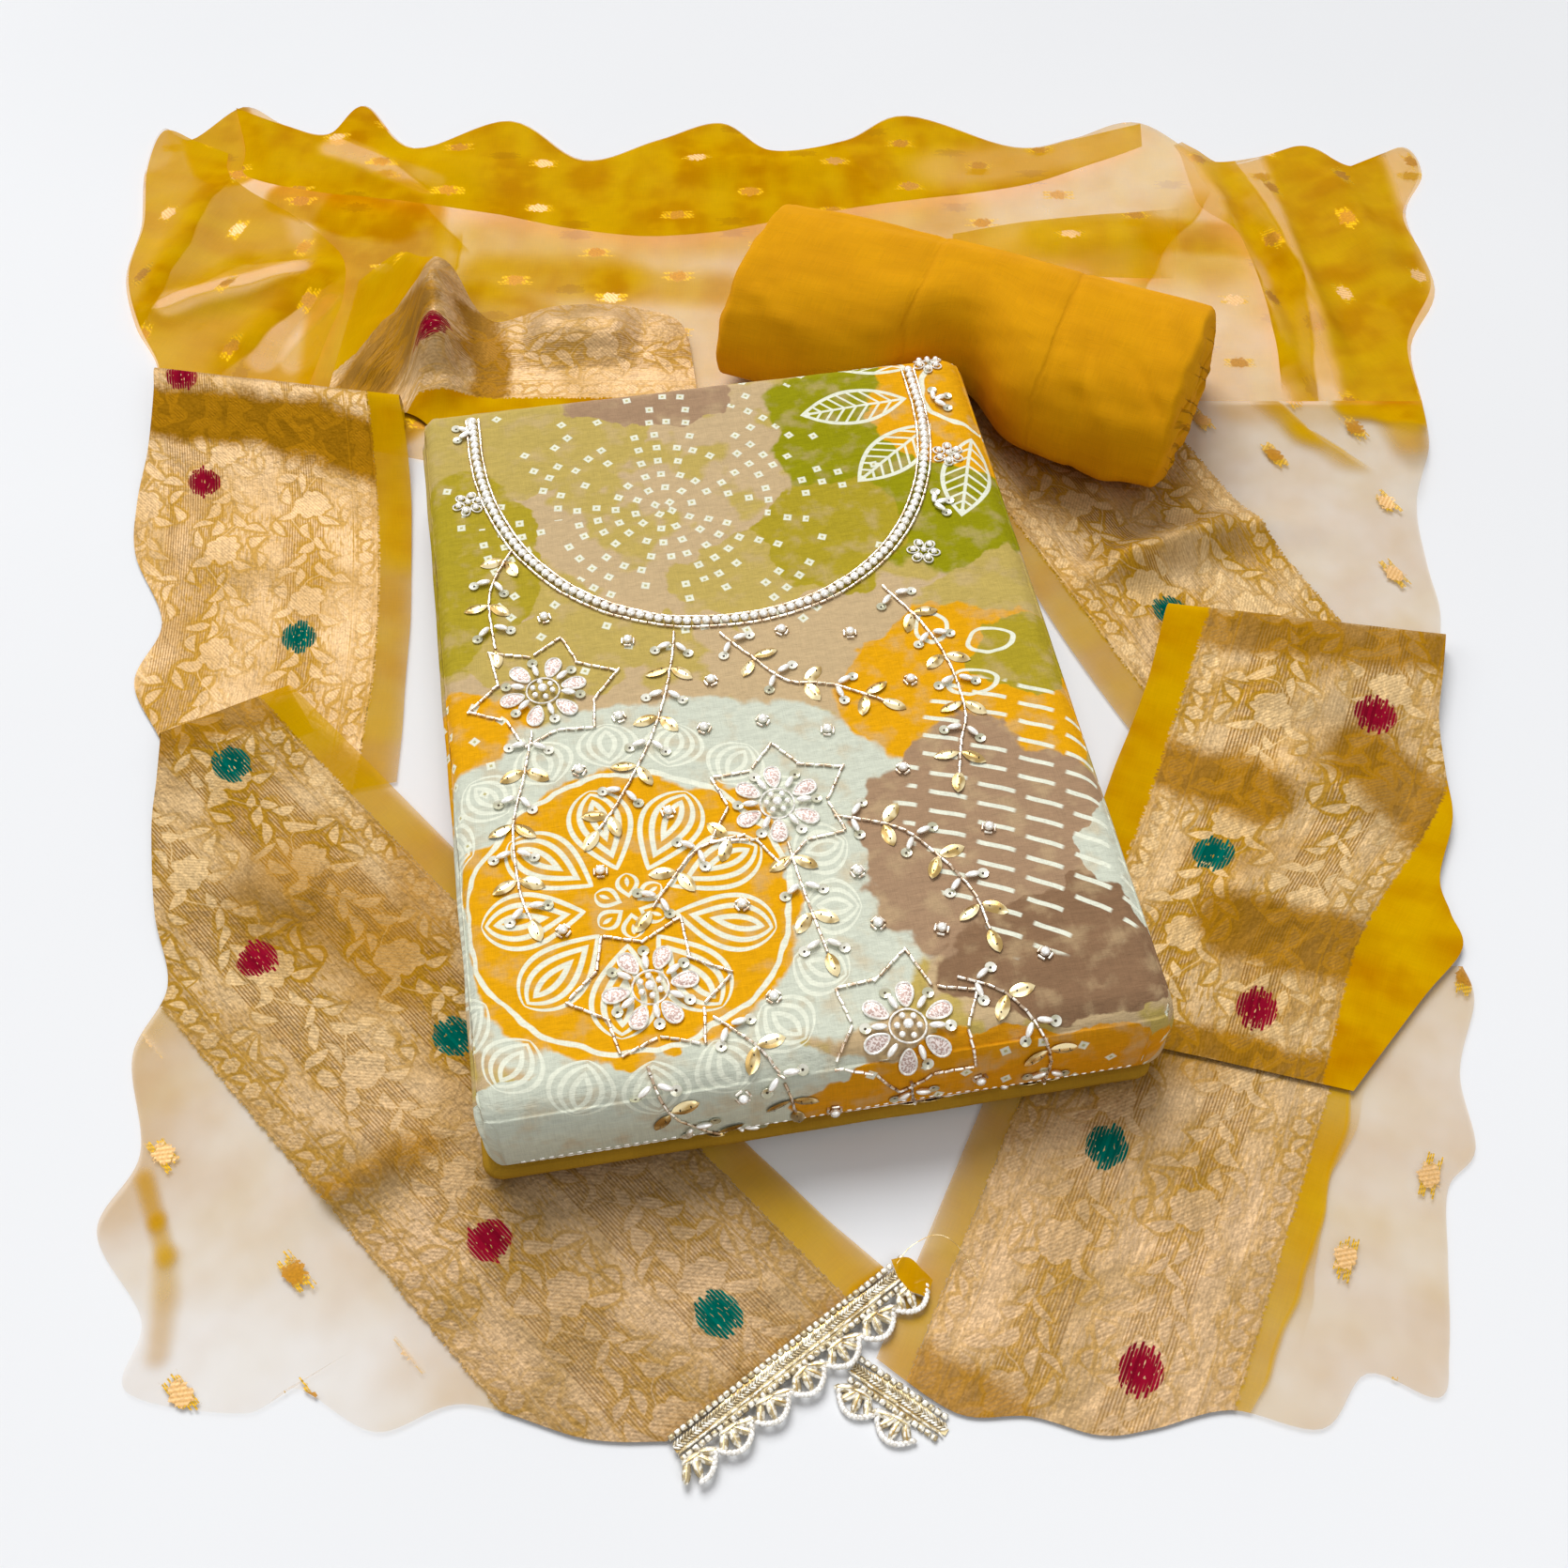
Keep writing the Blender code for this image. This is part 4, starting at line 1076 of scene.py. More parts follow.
upper_cut = along_edge(UPPER_EDGE)
upper = scarf_finish("zari_right_upper", 17.0, ZARI, layers=0.95, strip_layers=1.8, veils=(
    Veil(288, 207, 318, 200, 6, 8, 1.8),
    Veil(308, 200, 310, 176, 3, 12, 0.9),
    Veil(232, 207, 320, 207, 2, 22, 0.4),
), creases=(
    Crease(252, 207, 263, 188, 16, 1.0),
    Crease(263, 188, 279, 171, 16, 0.9),
), dots=cut_dots(upper_cut, (182, 73, "teal")), shade_zones=(
    Veil(140, 88, 262, 126, 2, 10, 0.2),
))
lay_cloth("dupatta_right_top", "dupatta_right_upper", RIGHT_UPPER_ROWS, RIGHT_UPPER_FOLDS, 16, 60,
          upper_cut, upper, "zari_border")
middle_dots = cut_dots(middle_cut, (259, 11, "crimson"), (182, -57, "teal"), (189, -126, "crimson"))
middle = scarf_finish("zari_right_middle", 15.0, 109.0, layers=4.4, strip_layers=3.2,
                      dots=middle_dots, shade_zones=(
    Veil(178, 60, 300, 42, 7, 9, 0.8),
    Veil(172, -14, 206, -28, 9, 10, 0.9),
    Veil(186, -90, 230, -103, 10, 10, 0.9),
    Veil(252, -12, 274, -42, 11, 12, 0.85),
    Veil(110, -128, 220, -156, 4, 6, 0.9),
))
lay_cloth("dupatta_right_turn", "dupatta_right_middle", RIGHT_MIDDLE_ROWS, RIGHT_MIDDLE_FOLDS,
          12, 44, middle_cut, middle, "zari_border")
lower_cut = along_edge(LOWER_EDGE)
lower = scarf_finish("zari_right_lower", 12.0, 114.0, layers=1.0, strip_layers=1.8, creases=(
    Crease(222, -146, 203, -200, 60, 0.8),
    Crease(203, -200, 167, -272, 60, 0.8),
), dots=cut_dots(lower_cut, (127, -181, "teal"), (130, -261, "crimson")), shade_zones=(
    Veil(58, -262, 84, -276, 5, 9, 0.7),
    Veil(100, -150, 170, -140, 6, 16, 0.5),
))
lay_cloth("dupatta_right_end", "dupatta_right_lower", RIGHT_LOWER_ROWS, (), 8, 56,
          lower_cut, lower, "zari_border")

# %% [markdown]
# ## The left side
#
# On the left the border comes down from a rounded crest, and the lower stretch turns back over it
# and runs slantwise to the front. Its selvage isn't quite straight above, so its u is counted
# from a gentle curve there.

# %% Rows of the left side
LEFT_UPPER_ROWS = (
    Row(-148, -20, FLAT, -240, -40, FLAT),
    Row(-149, 6, FLAT, -247, -4, FLAT),
    Row(-151, 34, FLAT, -267, 32, FLAT),
    Row(-153, 68, FLAT, -262, 66, FLAT),
    Row(-157, 104, FLAT, -282, 106, FLAT),
    Row(-161, 138, 2.0, -288, 138, 2.0),
    Row(-165, 164, 6.0, -288, 170, 7.0),
    Row(-169, 184, 11.0, -290, 200, 13.0),
    Row(-172, 196, 13.5, -292, 214, 15.5),
    Row(-173, 202, 10.0, -293, 220, 10.0),
    Row(-172, 200, 4.4, -292, 217, 4.4),
    Row(-170, 189, 2 * PITCH, -290, 202, 2 * PITCH),
)

LEFT_UPPER_FOLDS = (
    Fold(-262, 120, -206, 96, 2.5, 18),
)

LEFT_LOWER_ROWS = (
    Row(-186, 6, PITCH, -241, -20, PITCH),
    Row(-193, 18, PITCH, -246, -8, PITCH),
    Row(-199, 27, 4.2, -249, 1, 4.2),
    Row(-196, 24, 8.0, -247, -2, 8.0),
    Row(-183, 11, 6.5, -245, -22, 6.0),
    Row(-164, -8, 4.2, -243, -45, 3.6),
    Row(-142, -31, OVER_1, -234, -84, OVER_1),
    Row(-118, -56, FLAT, -223, -116, FLAT),
    Row(-101, -74, FLAT, -230, -145, FLAT),
    Row(-85, -92, FLAT, -219, -184, FLAT),
    Row(-67, -112, FLAT, -228, -213, FLAT),
    Row(-50, -130, FLAT, -206, -244, FLAT),
    Row(-34, -147, FLAT, -206, -268, FLAT),
    Row(-18, -163, FLAT, -166, -275, FLAT),
    Row(-3, -179, FLAT, -150, -267, FLAT),
    Row(12, -194, FLAT, -122, -281, FLAT),
    Row(26, -208, FLAT, -94, -272, FLAT),
    Row(37, -218, FLAT, -54, -283, FLAT),
    Row(47, -227, FLAT, -27, -284, FLAT),
)

LEFT_LOWER_FOLDS = (
    Fold(-156, -206, -122, -178, 4.5, 9),
    Fold(-206, -66, -168, -78, 3.5, 16),
)

print("rows of the left side:", len(LEFT_UPPER_ROWS), len(LEFT_LOWER_ROWS))

# %% Lay the left side
LEFT_SELVAGE = Selvage(-168, 0, 47, -227, 1)
LEFT_LEAN = 22
LEFT_LEAN_FROM = 30
LEFT_LEAN_RUN = 166


def left_upper_cut(x, y):
    """The selvage leans outwards above the middle of the stretch."""
    lean = LEFT_LEAN * (max(y - LEFT_LEAN_FROM, 0.0) / LEFT_LEAN_RUN) ** 1.5
    return -150 - lean - x, -y


left_upper = scarf_finish("zari_left_upper", 15.0, 150.0, layers=1.0, strip_layers=2.0,
                          pale=0.55, veils=(
    Veil(-160, 196, -152, 120, 12, 20, 0.8),
), shade_zones=(
    Veil(-300, 192, -217, 181, 10, 9, 1.0),
    Veil(-217, 181, -176, 164, 11, 9, 1.0),
), dots=(
    Dot(95, -150, "crimson"),
    Dot(49, -58, "teal"),
    Dot(103, -210, "crimson"),
))
lay_cloth("dupatta_left_top", "dupatta_left_upper", LEFT_UPPER_ROWS, LEFT_UPPER_FOLDS, 14, 48,
          left_upper_cut, left_upper, "zari_border", lift=0.4)
left_lower_cut = along_edge(LEFT_SELVAGE)
left_lower = scarf_finish("zari_left_lower", 17.0, 126.0, layers=0.95, strip_layers=2.0,
                          pale=-1.2, veils=(
    Veil(38, -235, 47, -228, 3, 3, 1.0),
    Veil(-236, -116, -240, -176, 4, 50, 0.45),
    Veil(-214, -262, -150, -270, 10, 44, -0.4),
    Veil(-217, -192, -208, -209, 0.5, 5, 0.8),
    Veil(-208, -209, -201, -223, 0.5, 5, 0.8),
    Veil(-201, -223, -199, -255, 0.5, 7, 0.6),
), dots=cut_dots(
    left_lower_cut, (-216, -14, "teal"), (-191, -104, "crimson"), (-112, -137, "teal"),
    (-91, -216, "crimson"), (-11, -242, "teal")), shade_zones=(
    Veil(-186, -72, -144, -100, 8, 26, 0.55),
    Veil(-154, -203, -118, -180, 2, 7, 0.6),
    Veil(-250, -2, -196, 18, 7, 6, 0.7),
    Veil(-140, -40, -128, -96, 6, 12, 0.45),
    Veil(-24, -290, 48, -232, 4, 9, 0.55),
))
lay_cloth("dupatta_left_end", "dupatta_left_lower", LEFT_LOWER_ROWS, LEFT_LOWER_FOLDS, 12, 60,
          left_lower_cut, left_lower, "zari_border")

# %% [markdown]
# ## The turned corner
#
# Where the left end's plain edge meets the lace, its corner is turned under and a small flap of
# the plain edge stands out beside the lace. It is the same sheer cloth, doubled.

# %% Lay the turned corner
CORNER_ROWS = (
    Row(48, -224, 4.2, 50, -230, 4.0),
    Row(54, -223.6, 5.0, 54, -235, 4.4),
    Row(58.5, -227.6, 4.4, 57, -236, 3.8),
    Row(62, -231, 3.6, 60, -237, 3.4),
)
CORNER_EDGE = Selvage(45, -225, 61, -228, 1)
corner = scarf_finish("organza_corner", layers=3.2, creases=(
    Crease(57, -224, 55, -238, 8, 0.8),
))
lay_cloth("dupatta_turned_corner", None, CORNER_ROWS, (), 6, 10,
          along_edge(CORNER_EDGE), corner, "organza")
# %% [markdown]
# ## The kameez pack
#
# The kameez is cut cloth that has not been sewn up yet. It is folded into a flat pack: smooth over
# the front fold, with the edges of its layers showing at the back and the left. A divided cube
# with softly rounded corners gives the pack, and the layers are worked into its sides. A thin wall
# then makes it cloth and not a block. Its u and v run over the front fold, so the print and the
# beads carry on round it.

# %% Sizes of the pack
PACK_TURN = radians(9.75)
PACK_WIDTH = 250.0
PACK_LENGTH = 354.0
PACK_TOP = 46.0
PACK_CROWN = 0.8
PACK_CELLS = (80, 112, 30)
PUCKER = 0.4
PACK_BASE = 2 * PITCH
LINING_THICK = 7.0
CLEAR = 0.3
FRONT_ROUND = 16.0
BACK_ROUND = 9.0
LEFT_ROUND = 8.0
RIGHT_ROUND = 13.0
BASE_ROUND = 5.0
LAYER_STEPS = (0.0, -2.4, 0.4, -1.2, -0.3)
LAYER_GROOVE = -2.2
GROOVE_REACH = 0.28
LAYER_WAVE = 0.7
FRONT_WAVE = 0.5
OVER_EDGE_SHARE = 0.8
RIGHT_SHARE = 0.4
EDGE_DRAW = 0.55
ON_FACE = 0.999
PACK_FOLDS = (
    Fold(94, 39, 124, 31, -1.3, 1.6),
    Fold(-103, 95, 13, 92, -0.5, 2.2),
    Fold(-122, 62, -62, 57, -0.5, 2.2),
    Fold(-20, 118, 70, 126, -0.4, 2.5),
    Fold(60, -150, 118, -140, 0.5, 4.0),
    Fold(40, -172, 112, -166, -0.5, 2.0),
    Fold(-112, -150, -70, -166, 0.5, 5.0),
    Fold(-30, -168, 30, -172, -0.4, 2.5),
)


def divided_cube(cells):
    """A cube from -1 to 1 cut into a number of cells along each axis."""
    bm = bmesh.new()
    bmesh.ops.create_cube(bm, size=2.0)
    for axis, count in enumerate(cells):
        along = [
            edge for edge in bm.edges
            if abs(edge.verts[0].co[axis] - edge.verts[1].co[axis]) > 1.0
        ]
        bmesh.ops.subdivide_edges(bm, edges=along, cuts=count - 1, use_grid_fill=True)
    return bm


def soft_corner(point, low, high, round_low, round_high):
    """Round a box's edges, each side by its own radius."""
    offset = []
    core = []
    for value, bottom, top, r_bottom, r_top in zip(point, low, high, round_low, round_high):
        held = min(max(value, bottom + r_bottom), top - r_top)
        radius = r_bottom if value < held else r_top
        core.append((held, radius))
        offset.append((value - held) / radius)
    length = max(1.0, Vector(offset).length)
    return [held + radius * step / length for (held, radius), step in zip(core, offset)]


def soft_block(low, high, round_low, round_high, cells):
    """A divided cube as a rounded block; gives each vertex, its cube place and its new place."""
    bm = divided_cube(cells)
    places = []
    for vert in bm.verts:
        cube = vert.co.copy()
        drawn = [(1 - EDGE_DRAW) * value + EDGE_DRAW * sin(value * pi / 2) for value in cube[:2]]
        box = [b + (s + 1) / 2 * (t - b) for s, b, t in zip((*drawn, cube.z), low, high)]
        places.append((vert, cube, soft_corner(box, low, high, round_low, round_high)))
    return bm, places


def pack_top(x, y):
    """Height of the pack's top in its own frame: a little full in the middle."""
    across = (2 * x / PACK_WIDTH) ** 4
    along = (2 * y / PACK_LENGTH) ** 4
    return PACK_TOP - PACK_CROWN * min(across + along, 1.0)


def pack_crease(x, y):
    """Creases and fine puckers of the printed cloth."""
    fine = noise.noise(Vector((x / 6, y / 4, 9.0)))
    pucker = noise.noise(Vector((x / 19, y / 7, 2.0))) + 0.5 * fine
    return fold_height(x, y, PACK_FOLDS) + PUCKER * pucker


def over_edge(value, edge, radius, z):
    """Distance over the cloth for a place at or beyond a rounded edge."""
    past = value - (edge - radius)
    return value if past <= 0 else edge - radius + OVER_EDGE_SHARE * (past + PACK_TOP - z)


def wrap_cloth(bm, name, material, wall, charted, slot, held, long, *nodes):
    """Finish a soft block as thin cloth, and say what was cut for it."""
    chart_cloth(bm, charted)
    area = sum(face.calc_area() for face in bm.faces)
    piece = finish_mesh(bm, name, material)
    inside = piece.modifiers.new("Wall", "SOLIDIFY")
    inside.thickness = wall * MM
    inside.offset = -1.0
    settle(piece, slot, *nodes)
    area / long
    print(f"{name}: {area / long * 1000:.0f} x {long * 1000:.0f} mm of the cut shows")
    return piece


print("pack:", PACK_WIDTH, "x", PACK_LENGTH, "x", PACK_TOP, "mm")

# %% [markdown]
# ## The print
#
# The cotton is printed in washes of tan, olive, green, mustard and pale mint, with white figures
# drawn over them. The figures here are ordinary ones in a layout of their own: tie-dye dots in
# rings, a fan of veined leaves, a many-petalled flower, running stitches in arcs and a few loose
# rings. Each wash is an oval whose edge noise breaks up, and each figure is worked out from its
# own centre.

# %% Washes and figures
Wash = namedtuple("Wash", "x y wide long colour")
TAN = rgb(203, 176, 134)
OLIVE_TAN = rgb(194, 170, 92)
OLIVE = rgb(176, 156, 40)
GREEN = rgb(150, 146, 6)
PRINT_MUSTARD = rgb(232, 166, 6)
MINT = rgb(212, 216, 198)
TAUPE = rgb(170, 138, 108)
BROWN = rgb(140, 108, 80)
ORANGE = rgb(222, 150, 16)
LINE_WHITE = rgb(240, 242, 222)
STITCH_RINGS = 8.6
STITCH_EVERY = 19.0
FAN_TURNS = (150, 184, 218, 252)
FAN_REACH = 58
VEIN_EVERY = 5.4
WASH_STRAY = 38
WASHES = (
    Wash(-84, 150, 62, 34, OLIVE_TAN),
    Wash(-112, 78, 34, 56, OLIVE),
    Wash(-20, 166, 40, 16, TAUPE),
    Wash(-66, 26, 46, 20, OLIVE_TAN),
    Wash(14, 52, 44, 26, OLIVE_TAN),
    Wash(96, 128, 66, 88, GREEN),
    Wash(44, 70, 30, 34, OLIVE),
    Wash(118, 142, 42, 46, PRINT_MUSTARD),
    Wash(36, 8, 52, 32, TAN),
    Wash(112, 6, 44, 44, OLIVE_TAN),
    Wash(88, -22, 58, 44, PRINT_MUSTARD),
    Wash(112, -4, 24, 20, OLIVE),
    Wash(-124, -34, 40, 46, PRINT_MUSTARD),
    Wash(-44, -88, 106, 84, MINT),
    Wash(-62, -98, 62, 62, PRINT_MUSTARD),
    Wash(74, -94, 50, 56, TAUPE),
    Wash(96, -142, 52, 26, BROWN),
    Wash(-70, -186, 84, 28, MINT),
    Wash(60, -192, 72, 22, ORANGE),
    Wash(130, -106, 20, 30, MINT),
)


def ring_places(f, x, y, pitch, spacing):
    """Spots along rings round a centre: where a place lies in its spot, and that spot's chance."""
    away = f.length(x, y)
    ring = f.whole(away / pitch)
    count = f.whole((ring + 0.5) * (tau * pitch / spacing)) + 1
    turn = f.math("ARCTAN2", y, x) / tau * count + ring * 0.37
    along = (f.part(turn) - 0.5) * tau * away / count
    across = (f.part(away / pitch) - 0.5) * pitch
    return along, across, f.chance(f.whole(turn) + ring * 31.7), away


def tied_dots(f, x, y, reach, pitch=8.2):
    """White tie-dye dots with a dark pinch in the middle, thinning outwards: (dots, pinches)."""
    along, across, chance, away = ring_places(f, x, y, pitch, pitch)
    along = along + (chance - 0.5) * 2.4
    size = f.most(abs(along), abs(across))
    kept = chance > away / reach * 0.9
    return f.soft(size, 1.9, 1.4) * kept, f.soft(size, 0.75, 0.4) * kept


def running_stitches(f, x, y):
    """Hand stitches along rings: pale dashes."""
    along, across, chance = ring_places(f, x, y, STITCH_RINGS, STITCH_EVERY)[:3]
    across = abs(across + f.sine(along * 0.25) * 0.5)
    return f.soft(across, 1.15, 0.75) * f.soft(abs(along), 7.0 + chance, 6.2) * (chance > 0.08)


def drawn_flower(f, x, y, petals, inner, outer, pitch):
    """Pointed petals filled with lines that follow their outline."""
    away = f.length(x, y)
    turn = f.part(f.math("ARCTAN2", y, x) * (petals / tau))
    aside = abs(turn - 0.5) * 2
    along = (away - inner) / (outer - inner)
    inside = (1 - (along * 2 - 1) * (along * 2 - 1)) ** 0.65 * 0.96 - aside
    inside = inside * away * (pi / petals)
    lines = f.soft(abs(f.part(inside / pitch + 0.25) - 0.5), 0.30, 0.18)
    shown = f.soft(inside, 0.1, 0.5) * (along > 0.0) * (along < 1.0)
    return lines * shown


def drawn_ring(f, x, y, size):
    """An uneven drawn circle."""
    away = f.length(x, y) + (f.noise(x, y, 0.05) - 0.5) * 9
    return f.soft(abs(away - size), 1.3, 0.8)


def veined_leaf(f, x, y, turn):
    """One leaf of a fan, with an outline, a midrib and slanting veins."""
    reach = (cos(radians(turn)), sin(radians(turn)))
    leaf = Leaf(FAN_REACH * reach[0], FAN_REACH * reach[1], turn, 25, 11.5, 0.0)
    inside = inside_leaf(f, x, y, leaf)
    along = x * reach[0] + y * reach[1]
    aside = abs(y * reach[0] - x * reach[1])
    outline = f.soft(abs(inside - 1.2), 1.2, 0.8)
    veins = f.soft(abs(f.part((along - aside * 0.8) / VEIN_EVERY) - 0.5), 0.16, 0.10)
    rib = f.soft(aside, 0.9, 0.5)
    return f.most(outline, f.most(veins, rib) * f.soft(inside, 1.4, 2.0))


print("washes:", len(WASHES))

# %% The printed cotton
def printed_cotton():
    f = Finish("printed_cotton")
    u, v = f.cut()
    x = u + (f.noise(u, v, 0.035, 4.0) - 0.5) * WASH_STRAY
    y = v + (f.noise(v + 300, u, 0.035, 4.0) - 0.5) * WASH_STRAY
    colour = f.mix(f.soft(f.noise(u, v, 0.03, 3.0), 0.50, 0.56), TAN, OLIVE_TAN)
    for wash in WASHES:
        away = f.length((x - wash.x) / wash.wide, (y - wash.y) / wash.long)
        colour = f.mix(f.soft(away, 1.02, 0.98), colour, wash.colour)
    thin = f.noise(u, v, 0.09, 4.0)
    colour = f.mix(f.soft(thin, 0.48, 0.70) * 0.45, colour, TAN)

    dots, pinches = tied_dots(f, u + 24, v - 98, 96)
    low_dots, low_pinches = tied_dots(f, u - 70, v + 214, 200, 15.0)
    low_area = f.soft(v, -168, -174) * f.soft(u, 0, 10)
    left_dots, left_pinches = tied_dots(f, u + 128, v + 28, 120, 14.0)
    left_area = f.soft(f.length(u + 128, v + 28), 44, 40)
    dots = f.most(dots, f.most(low_dots * low_area, left_dots * left_area))
    pinches = f.most(pinches, f.most(low_pinches * low_area, left_pinches * left_area))

    fan = reduce(f.most, (veined_leaf(f, u - 126, v - 150, turn) for turn in FAN_TURNS))
    fan = f.most(fan, drawn_ring(f, u - 126, v - 150, 26.0) * f.soft(u, 60, 70))
    flower = drawn_flower(f, u + 62, v + 98, 9, 16.0, 54.0, 4.6)
    flower = f.most(flower, drawn_ring(f, u + 62, v + 98, 59.0))
    petals = drawn_flower(f, u + 62, v + 98, 18, 63.0, 84.0, 4.2)
    heart = drawn_flower(f, u + 62, v + 98, 6, 3.0, 14.0, 4.0)
    flower = f.most(f.most(flower, petals * 0.9), heart)
    stitches = running_stitches(f, u + 60, v + 330)
    stitches = stitches * f.soft(f.length((x - 92) / 46, (y + 82) / 66), 1.04, 0.99)
    loose = reduce(f.most, (
        drawn_ring(f, (u - 74) * 1.3, v - 12, 8.0), drawn_ring(f, u - 96, (v - 2) * 1.4, 9.0),
        drawn_ring(f, u - 84, (v + 18) * 1.5, 9.5)))
    drawn = f.most(f.most(fan, flower), f.most(stitches, loose))
    broken = f.soft(f.noise(u / 1.1, v / 1.1), 0.78, 0.55)
    colour = f.mix(f.most(drawn, dots) * (broken * 0.25 + 0.72), colour, LINE_WHITE)
    colour = f.mix(pinches * 0.7, colour, OLIVE)

    warp = f.noise(u / 0.4, v / 9)
    weft = f.noise(u / 9, v / 0.4)
    sheen_and_wear = f.noise(u / 4, v / 2.5, 1.0, 3.0)
    colour = f.shade(colour, warp * 0.28 + weft * 0.30 + sheen_and_wear * 0.24 + 0.60)
    f.raised(warp * 0.6 + weft * 0.6 + sheen_and_wear * 3.0, 0.2, 0.8)
    return f.set(Base_Color=colour, Roughness=0.9, Specular_IOR_Level=0.1)


cotton = printed_cotton()
print("nodes in the print:", len(cotton.node_tree.nodes))

# %% Fold the pack
PRINT_WALL = 0.8
KAMEEZ_LONG = 0.39
half_x = PACK_WIDTH / 2
half_y = PACK_LENGTH / 2
base = PACK_BASE + LINING_THICK + CLEAR
layer_high = (PACK_TOP - base) / len(LAYER_STEPS)
bm, places = soft_block(
    (-half_x, -half_y, base), (half_x, half_y, PACK_TOP),
    (LEFT_ROUND, FRONT_ROUND, BASE_ROUND), (RIGHT_ROUND, BACK_ROUND, FRONT_ROUND), PACK_CELLS)
charted = {}
for vert, cube, (x, y, z) in places:
    at_side = abs(cube.x) > ON_FACE
    at_back = cube.y > ON_FACE
    u = over_edge(x, half_x, RIGHT_ROUND, z) if x > 0 else -over_edge(-x, half_x, LEFT_ROUND, z)
    v = over_edge(y, half_y, BACK_ROUND, z) if y > 0 else -over_edge(-y, half_y, FRONT_ROUND, z)
    charted[vert] = (u, v)
    if (at_side or at_back) and abs(cube.z) < ON_FACE:
        layer = min((z - base) / layer_high, len(LAYER_STEPS) - 0.01)
        near = abs(layer - round(layer))
        groove = 1 - ease(near / GROOVE_REACH) if 0 < round(layer) < len(LAYER_STEPS) else 0.0
        step = LAYER_STEPS[int(layer)] * (1 - groove) + LAYER_GROOVE * groove
        step += LAYER_WAVE * noise.noise(Vector((y / 30, x / 30, int(layer) * 3.0)))
        step *= RIGHT_SHARE if cube.x > ON_FACE else 1.0
        x += step * cube.x * at_side
        y += step * at_back
    if cube.z > ON_FACE:
        z += pack_top(x, y) - PACK_TOP + pack_crease(x, y)
    elif cube.y < -ON_FACE:
        y += FRONT_WAVE * noise.noise(Vector((x / 22, z / 9, 4.0))) * (1 - abs(cube.z))
    vert.co = to_set(*turned(x, y, PACK_TURN), z)
print("pack:", len(bm.faces), "faces")
pack = wrap_cloth(bm, "kameez_pack", cotton, PRINT_WALL, charted, "printed_cotton", "folded",
                  KAMEEZ_LONG, "kameez_folded_pack")

# %% [markdown]
# ## The plain cloth under the print
#
# A plain piece for the lining is folded under the printed one, and stands out a little at the
# front left corner. It is a low rounded block of its own, in plain cotton of a dull mustard.

# %% Plain cotton
def plain_cotton(name, colour, dark, slub, pressed=(), ends=0.0):
    """Cotton with thick and thin threads both ways, press lines across it at some u with painted
    shade along them, and the edges of its layers showing beyond the ends with painted shade between
    them.
    """
    f = Finish(name)
    u, v = f.cut()
    warp = f.noise(u / 0.35, v / 14)
    weft = f.noise(u / 14, v / 0.35)
    thick = f.soft(f.noise(u / 22, v / 0.5), 0.66, 0.74)
    cloud = f.noise(u, v, 0.035, 4.0)
    tone = f.mix(f.soft(cloud, 0.36, 0.64) * 0.4, colour, dark)
    tone = f.mix(thick * slub, tone, dark)
    tone = f.shade(tone, warp * 0.24 + weft * 0.24 + 0.76)
    height = warp + weft + thick * 0.6
    for place in pressed:
        line = f.soft(abs(u - place + (cloud - 0.5) * 8), 1.6, 0.2)
        # Painted shade: the press line is darkened as well as pressed in.
        tone = f.mix(line * 0.3, tone, dark)
        height = height - line * 2
    if ends:
        layers = abs(f.part(v / 11 + cloud * 5) - 0.5)
        edges = f.soft(layers, 0.40, 0.49) * f.soft(abs(u), ends - 1.0, ends + 1.5)
        # Painted shade: the gaps between the layers' edges are painted dark.
        tone = f.mix(edges * 0.6, tone, tuple(share * 0.45 for share in dark))
        height = height - edges * 6
    f.raised(height, 0.14, 0.8)
    return f.set(Base_Color=tone, Roughness=0.9, Specular_IOR_Level=0.1)


lining_cotton = plain_cotton("plain_lining", rgb(186, 142, 40), rgb(160, 120, 30), 0.3)
print("nodes in the lining's cotton:", len(lining_cotton.node_tree.nodes))

# %% Fold the lining
LINING_SHIFT = (-4.0, -4.0)
LINING_INSET = 3.0
LINING_ROUND = (7.0, 7.0, 3.4)
LINING_CELLS = (40, 56, 8)
LINING_WALL = 0.6
LINING_LONG = 0.36
half_x = PACK_WIDTH / 2 - LINING_INSET
half_y = PACK_LENGTH / 2 - LINING_INSET
bm, places = soft_block(
    (-half_x + LINING_SHIFT[0], -half_y + LINING_SHIFT[1], PACK_BASE),
    (half_x + LINING_SHIFT[0], half_y + LINING_SHIFT[1], PACK_BASE + LINING_THICK),
    LINING_ROUND, LINING_ROUND, LINING_CELLS)
charted = {}
for vert, cube, (x, y, z) in places:
    charted[vert] = (x - z * (cube.x < -ON_FACE), y - z * (cube.y < -ON_FACE))
    if cube.y < -ON_FACE:
        y += FRONT_WAVE * noise.noise(Vector((x / 26, z / 5, 0.0))) * (1 - abs(cube.z))
    vert.co = to_set(*turned(x, y, PACK_TURN), z)
wrap_cloth(bm, "lining_folded", lining_cotton, LINING_WALL, charted, "plain_lining", "folded",
           LINING_LONG, "kameez_lining")

# %% [markdown]
# ## The salwar bundle
#
# The salwar's plain mustard cloth is folded and rolled into an oval bundle. The pack's corner
# presses into its near side, soft press lines cross it, and at both ends the edges of the layers
# make small steps.

